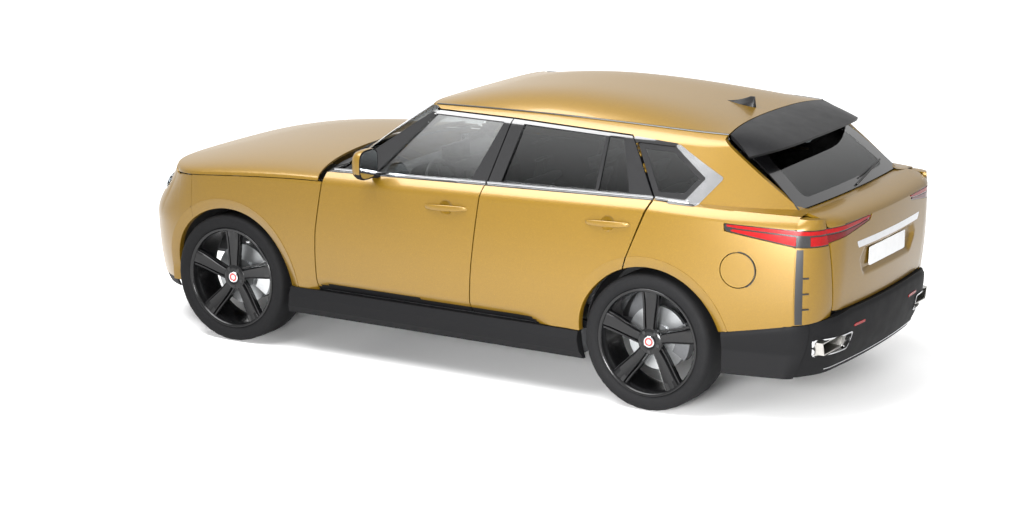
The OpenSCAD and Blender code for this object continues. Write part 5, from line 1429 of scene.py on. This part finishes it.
class CAR_OT_cabin(CarOperator):
    """Lining, carpet, door trims, dashboard details, and seats as stuffed cushions"""
    bl_idname = "car.cabin"
    bl_label = "Cabin"

    def make(self, sizes, looks):
        u, w = np.meshgrid(np.linspace(0.05, 0.97, 30), np.linspace(0.93, -0.93, 31), indexing="ij")
        self.inner_frame()
        put("headlining", wall(roof_point(u, w, 68.0), 5.0), "woven_headlining", "body", "upholstery")
        put("carpet", slab(((-925, -770, 371), (785, 770, 377)), 2.5), "felt_carpet", "body", "black_plastic")
        put("load_carpet", slab(((-2240, -560, 621), (-1260, 560, 627)), 2.5), "felt_carpet", "body", "black_plastic")
        trims = {"front": [(-170, 440), (820, 440), (800, 1110), (-240, 1150)],
                 "rear": [(-860, 440), (-300, 440), (-315, 1165), (-1330, 1190), (-1210, 880), (-1010, 820)]}
        for side in SIDES:
            for end, outline in trims.items():
                put(f"{end}_door_trim_{side}", sided(side_sheet(outline, (), 62.0, 22.0), side), "soft_dash_skin",
                    f"door_{end}_{side}", "black_plastic")
        ring, lift = oval(1, 1, 40, 3).T
        hood = loft(np.stack([points(x, 380 + a * ring, 1098 + b * lift)
                              for x, a, b in ((600, 150, 20), (540, 190, 62), (500, 195, 66), (470, 188, 60))]))
        screen = slab(((498, -190, 1085), (510, 150, 1215)), 5.0)
        vents = join(*(slab(((446, y - 60, 985), (462, y + 60, 1030)), 6.0) for y in (-560, -110, 110, 620)))
        put("instrument_hood", hood, "soft_dash_skin", "body", "black_plastic")
        put("centre_screen", screen, "gloss_black_lacquer", "body", "gloss_black")
        put("dash_vents", vents, "gloss_black_lacquer", "body", "gloss_black")
        rails = join(*(slab(((-150, y - 22, 378), (178, y + 22, 470)), 8.0) for y in (230, 560)))
        put("seat_rails", both(rails), "grey_sealed_steel", "body", "steel")
        posts = join(*(carry(oval(6, 6, 12), line([(-338, y, 1150), (-362, y, 1262)], 4), (0, 1, 0))
                       for y in (345, 445)))
        put("headrest_posts", both(posts), "chromed_abs", "body", "alloy")
        self.seats()

    def inner_frame(self):
        """Inner pillars as one sheet behind the doors with their openings cut, and bows under both ends of the roof."""
        roof_x = np.linspace(190, ROOF_SEAM + 60, 40)
        outline = np.concatenate([
            [(-1000, SILL_TOP), (1000, SILL_TOP), (985, 1080), (855, 1104), (800, 1150)],
            np.stack([roof_x, edge_z(roof_x) - 12], 1),
            [(GLASS_FOOT[0] + 110, GLASS_FOOT[1] + 10), (-2080, 1190), (-2080, 700)],
            arc(REAR_AXLE, ARCH_R + 25, 2.6, 0.3, 40)])
        front = [B_LOW, A_FOOT, A_MID, A_WAIST, (720, 1176), (160, FRAME_TOP), B_TOP, B_WAIST]
        rear = [(-1000, DOOR_LOW), *(shifted(p, HINGE_GAP) for p in (B_LOW, B_WAIST, B_TOP)), C_TOP, C_WAIST, C_ARCH]
        sides = side_sheet(outline, [grown(front, -42), grown(rear, -42), grown(QUARTER_WINDOW, 4)], FRAME_DEPTH, 40.0)
        bows = []
        for ends in ((0.04, 0.15), (0.88, 0.985)):
            u, w = np.meshgrid(np.linspace(*ends, 6), np.linspace(0.92, -0.92, 41), indexing="ij")
            bows.append(wall(roof_point(u, w, 11.0), 26.0))
        put("cabin_frame", join(both(sides), *bows), "gloss_black_lacquer", "body", "steel", ["cabin_frame"])

    VOXEL, HOLD, FRAMES = 0.022, 0.014, 20

    def seats(self):
        """Each cushion: a rounded block turned into place, remeshed, blown up as cloth, then smoothed once."""
        lean = math.radians(19.9)
        pads = []
        for side, s in (("left", 1), ("right", -1)):
            pads += [(f"front_cushion_{side}", (-250, 310), (162, 628), (474, 604), 46, 0.0, s),
                     (f"front_back_{side}", (-52, 52), (165, 625), (-20, 575), 42, lean, s),
                     (f"front_headrest_{side}", (-398, -336), (285, 505), (1256, 1398), 26, 0.0, s),
                     (f"rear_cushion_{side}", (-935, -556), (8, 572), (470, 648), 46, 0.0, s),
                     (f"rear_back_{side}", (-58, 58), (8, 572), (-12, 500), 42, lean, s),
                     (f"rear_headrest_{side}", (-1194, -1132), (270, 500), (1222, 1342), 26, 0.0, s)]
        made = []
        for name, xs, ys, zs, r, tilt, s in pads:
            v, f = slab(((xs[0], ys[0], zs[0]), (xs[1], ys[1], zs[1])), r, 6)
            if tilt:
                c, d = math.cos(tilt), math.sin(tilt)
                foot = np.array([-178.0, 0, 628.0] if "front" in name else [-1018.0, 0, 690.0])
                v = np.stack([v[:, 0] * c - v[:, 2] * d, v[:, 1], v[:, 0] * d + v[:, 2] * c], 1) + foot
            shape = (v, f) if s > 0 else mirrored(v, f)
            node = {"front_cushion_left": ["front_seats"], "rear_cushion_left": ["rear_seat"]}.get(name, [])
            # The seats' grey is lifted above charcoal: painted fill light in the cabin
            made.append(put(name, shape, "charcoal_leather", "body", "upholstery", node, 60.0))
        self.blow_up(made)

    def blow_up(self, pads):
        """Cloth under pressure for twenty frames, each point held within 14 mm of its start."""
        scene = bpy.context.scene
        for obj in pads:
            remesh = obj.modifiers.new("remesh", "REMESH")
            remesh.mode, remesh.voxel_size, remesh.use_smooth_shade = "VOXEL", self.VOXEL, True
        meshes = self.evaluated(pads)
        for obj, mesh in zip(pads, meshes):
            obj.modifiers.clear()
            obj.data = mesh
        for obj in pads:
            cloth = obj.modifiers.new("cloth", "CLOTH")
            cloth.settings.quality = 4
            cloth.settings.use_pressure = True
            cloth.settings.uniform_pressure_force = 4.0
            cloth.settings.effector_weights.gravity = 0.0
            cloth.collision_settings.use_collision = False
            cloth.point_cache.frame_start, cloth.point_cache.frame_end = 1, self.FRAMES
        for frame_no in range(1, self.FRAMES + 1):
            scene.frame_set(frame_no)
        blown = self.evaluated(pads)
        for obj, mesh in zip(pads, blown):
            obj.modifiers.clear()
            start, end = (np.empty(3 * len(m.vertices)) for m in (obj.data, mesh))
            obj.data.vertices.foreach_get("co", start)
            mesh.vertices.foreach_get("co", end)
            move = (end - start).reshape(-1, 3)
            far = np.linalg.norm(move, axis=1, keepdims=True)
            move *= np.minimum(1, self.HOLD / np.maximum(far, 1e-9))
            obj.data.vertices.foreach_set("co", (start.reshape(-1, 3) + move).ravel())
        scene.frame_set(1)
        for obj in pads:
            smooth = obj.modifiers.new("smooth", "SUBSURF")
            smooth.levels = smooth.render_levels = 1

    def evaluated(self, pads):
        """Meshes with the modifiers carried out."""
        graph = bpy.context.evaluated_depsgraph_get()
        graph.update()
        return [bpy.data.meshes.new_from_object(obj.evaluated_get(graph)) for obj in pads]


class CAR_OT_frame_finishes(CarOperator):
    """Finishes on the frame's own pieces that keep their shape"""
    bl_idname = "car.frame_finishes"
    bl_label = "Frame finishes"

    def make(self, sizes, looks):
        finishes = {
            "grey_sealed_steel": ["platform", "front_subframe", "rear_axle"],
            "cast_aluminium": ["engine_block"],
            # Silver calipers lifted to near white: painted light against the shade behind the spokes
            "silver_caliper_enamel": ["knuckle_left", "knuckle_right"],
            "turned_cast_iron": [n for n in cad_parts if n.startswith("disc_")],
            "stainless_exhaust": ["exhaust"],
            "black_abs": ["arch_liners", "cowl"],
            "grained_black_polypropylene": ["sill_covers"],
            "soft_dash_skin": ["dashboard", "steering_wheel"],
        }
        for material, nodes in finishes.items():
            for name in nodes:
                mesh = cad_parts[name].data
                mesh.materials.clear()
                mesh.materials.append(bpy.data.materials[material])


STEPS = (CAR_OT_stage, CAR_OT_frame_finishes, CAR_OT_sides, CAR_OT_roof_and_bonnet, CAR_OT_nose, CAR_OT_glass,
         CAR_OT_side_trim, CAR_OT_tail, CAR_OT_wheels, CAR_OT_cabin)


class CAR_PT_panel(bpy.types.Panel):
    """Steps of dressing the car"""
    bl_idname = "CAR_PT_panel"
    bl_label = "Car"
    bl_space_type = "VIEW_3D"
    bl_region_type = "UI"
    bl_category = "Car"

    def draw(self, context):
        for settings in (context.scene.car_looks, context.scene.car_sizes):
            for key in settings.__annotations__:
                self.layout.prop(settings, key)
        for step in STEPS:
            self.layout.operator(step.bl_idname)


CLASSES = (CarLooks, CarSizes, *STEPS, CAR_PT_panel)


def register():
    for cls in CLASSES:
        bpy.utils.register_class(cls)
    bpy.types.Scene.car_looks = bpy.props.PointerProperty(type=CarLooks)
    bpy.types.Scene.car_sizes = bpy.props.PointerProperty(type=CarSizes)


def unregister():
    del bpy.types.Scene.car_looks
    del bpy.types.Scene.car_sizes
    for cls in reversed(CLASSES):
        bpy.utils.unregister_class(cls)


def main():
    register()
    for step in STEPS:
        group, name = step.bl_idname.split(".")
        getattr(getattr(bpy.ops, group), name)()


if __name__ == "__main__":
    main()
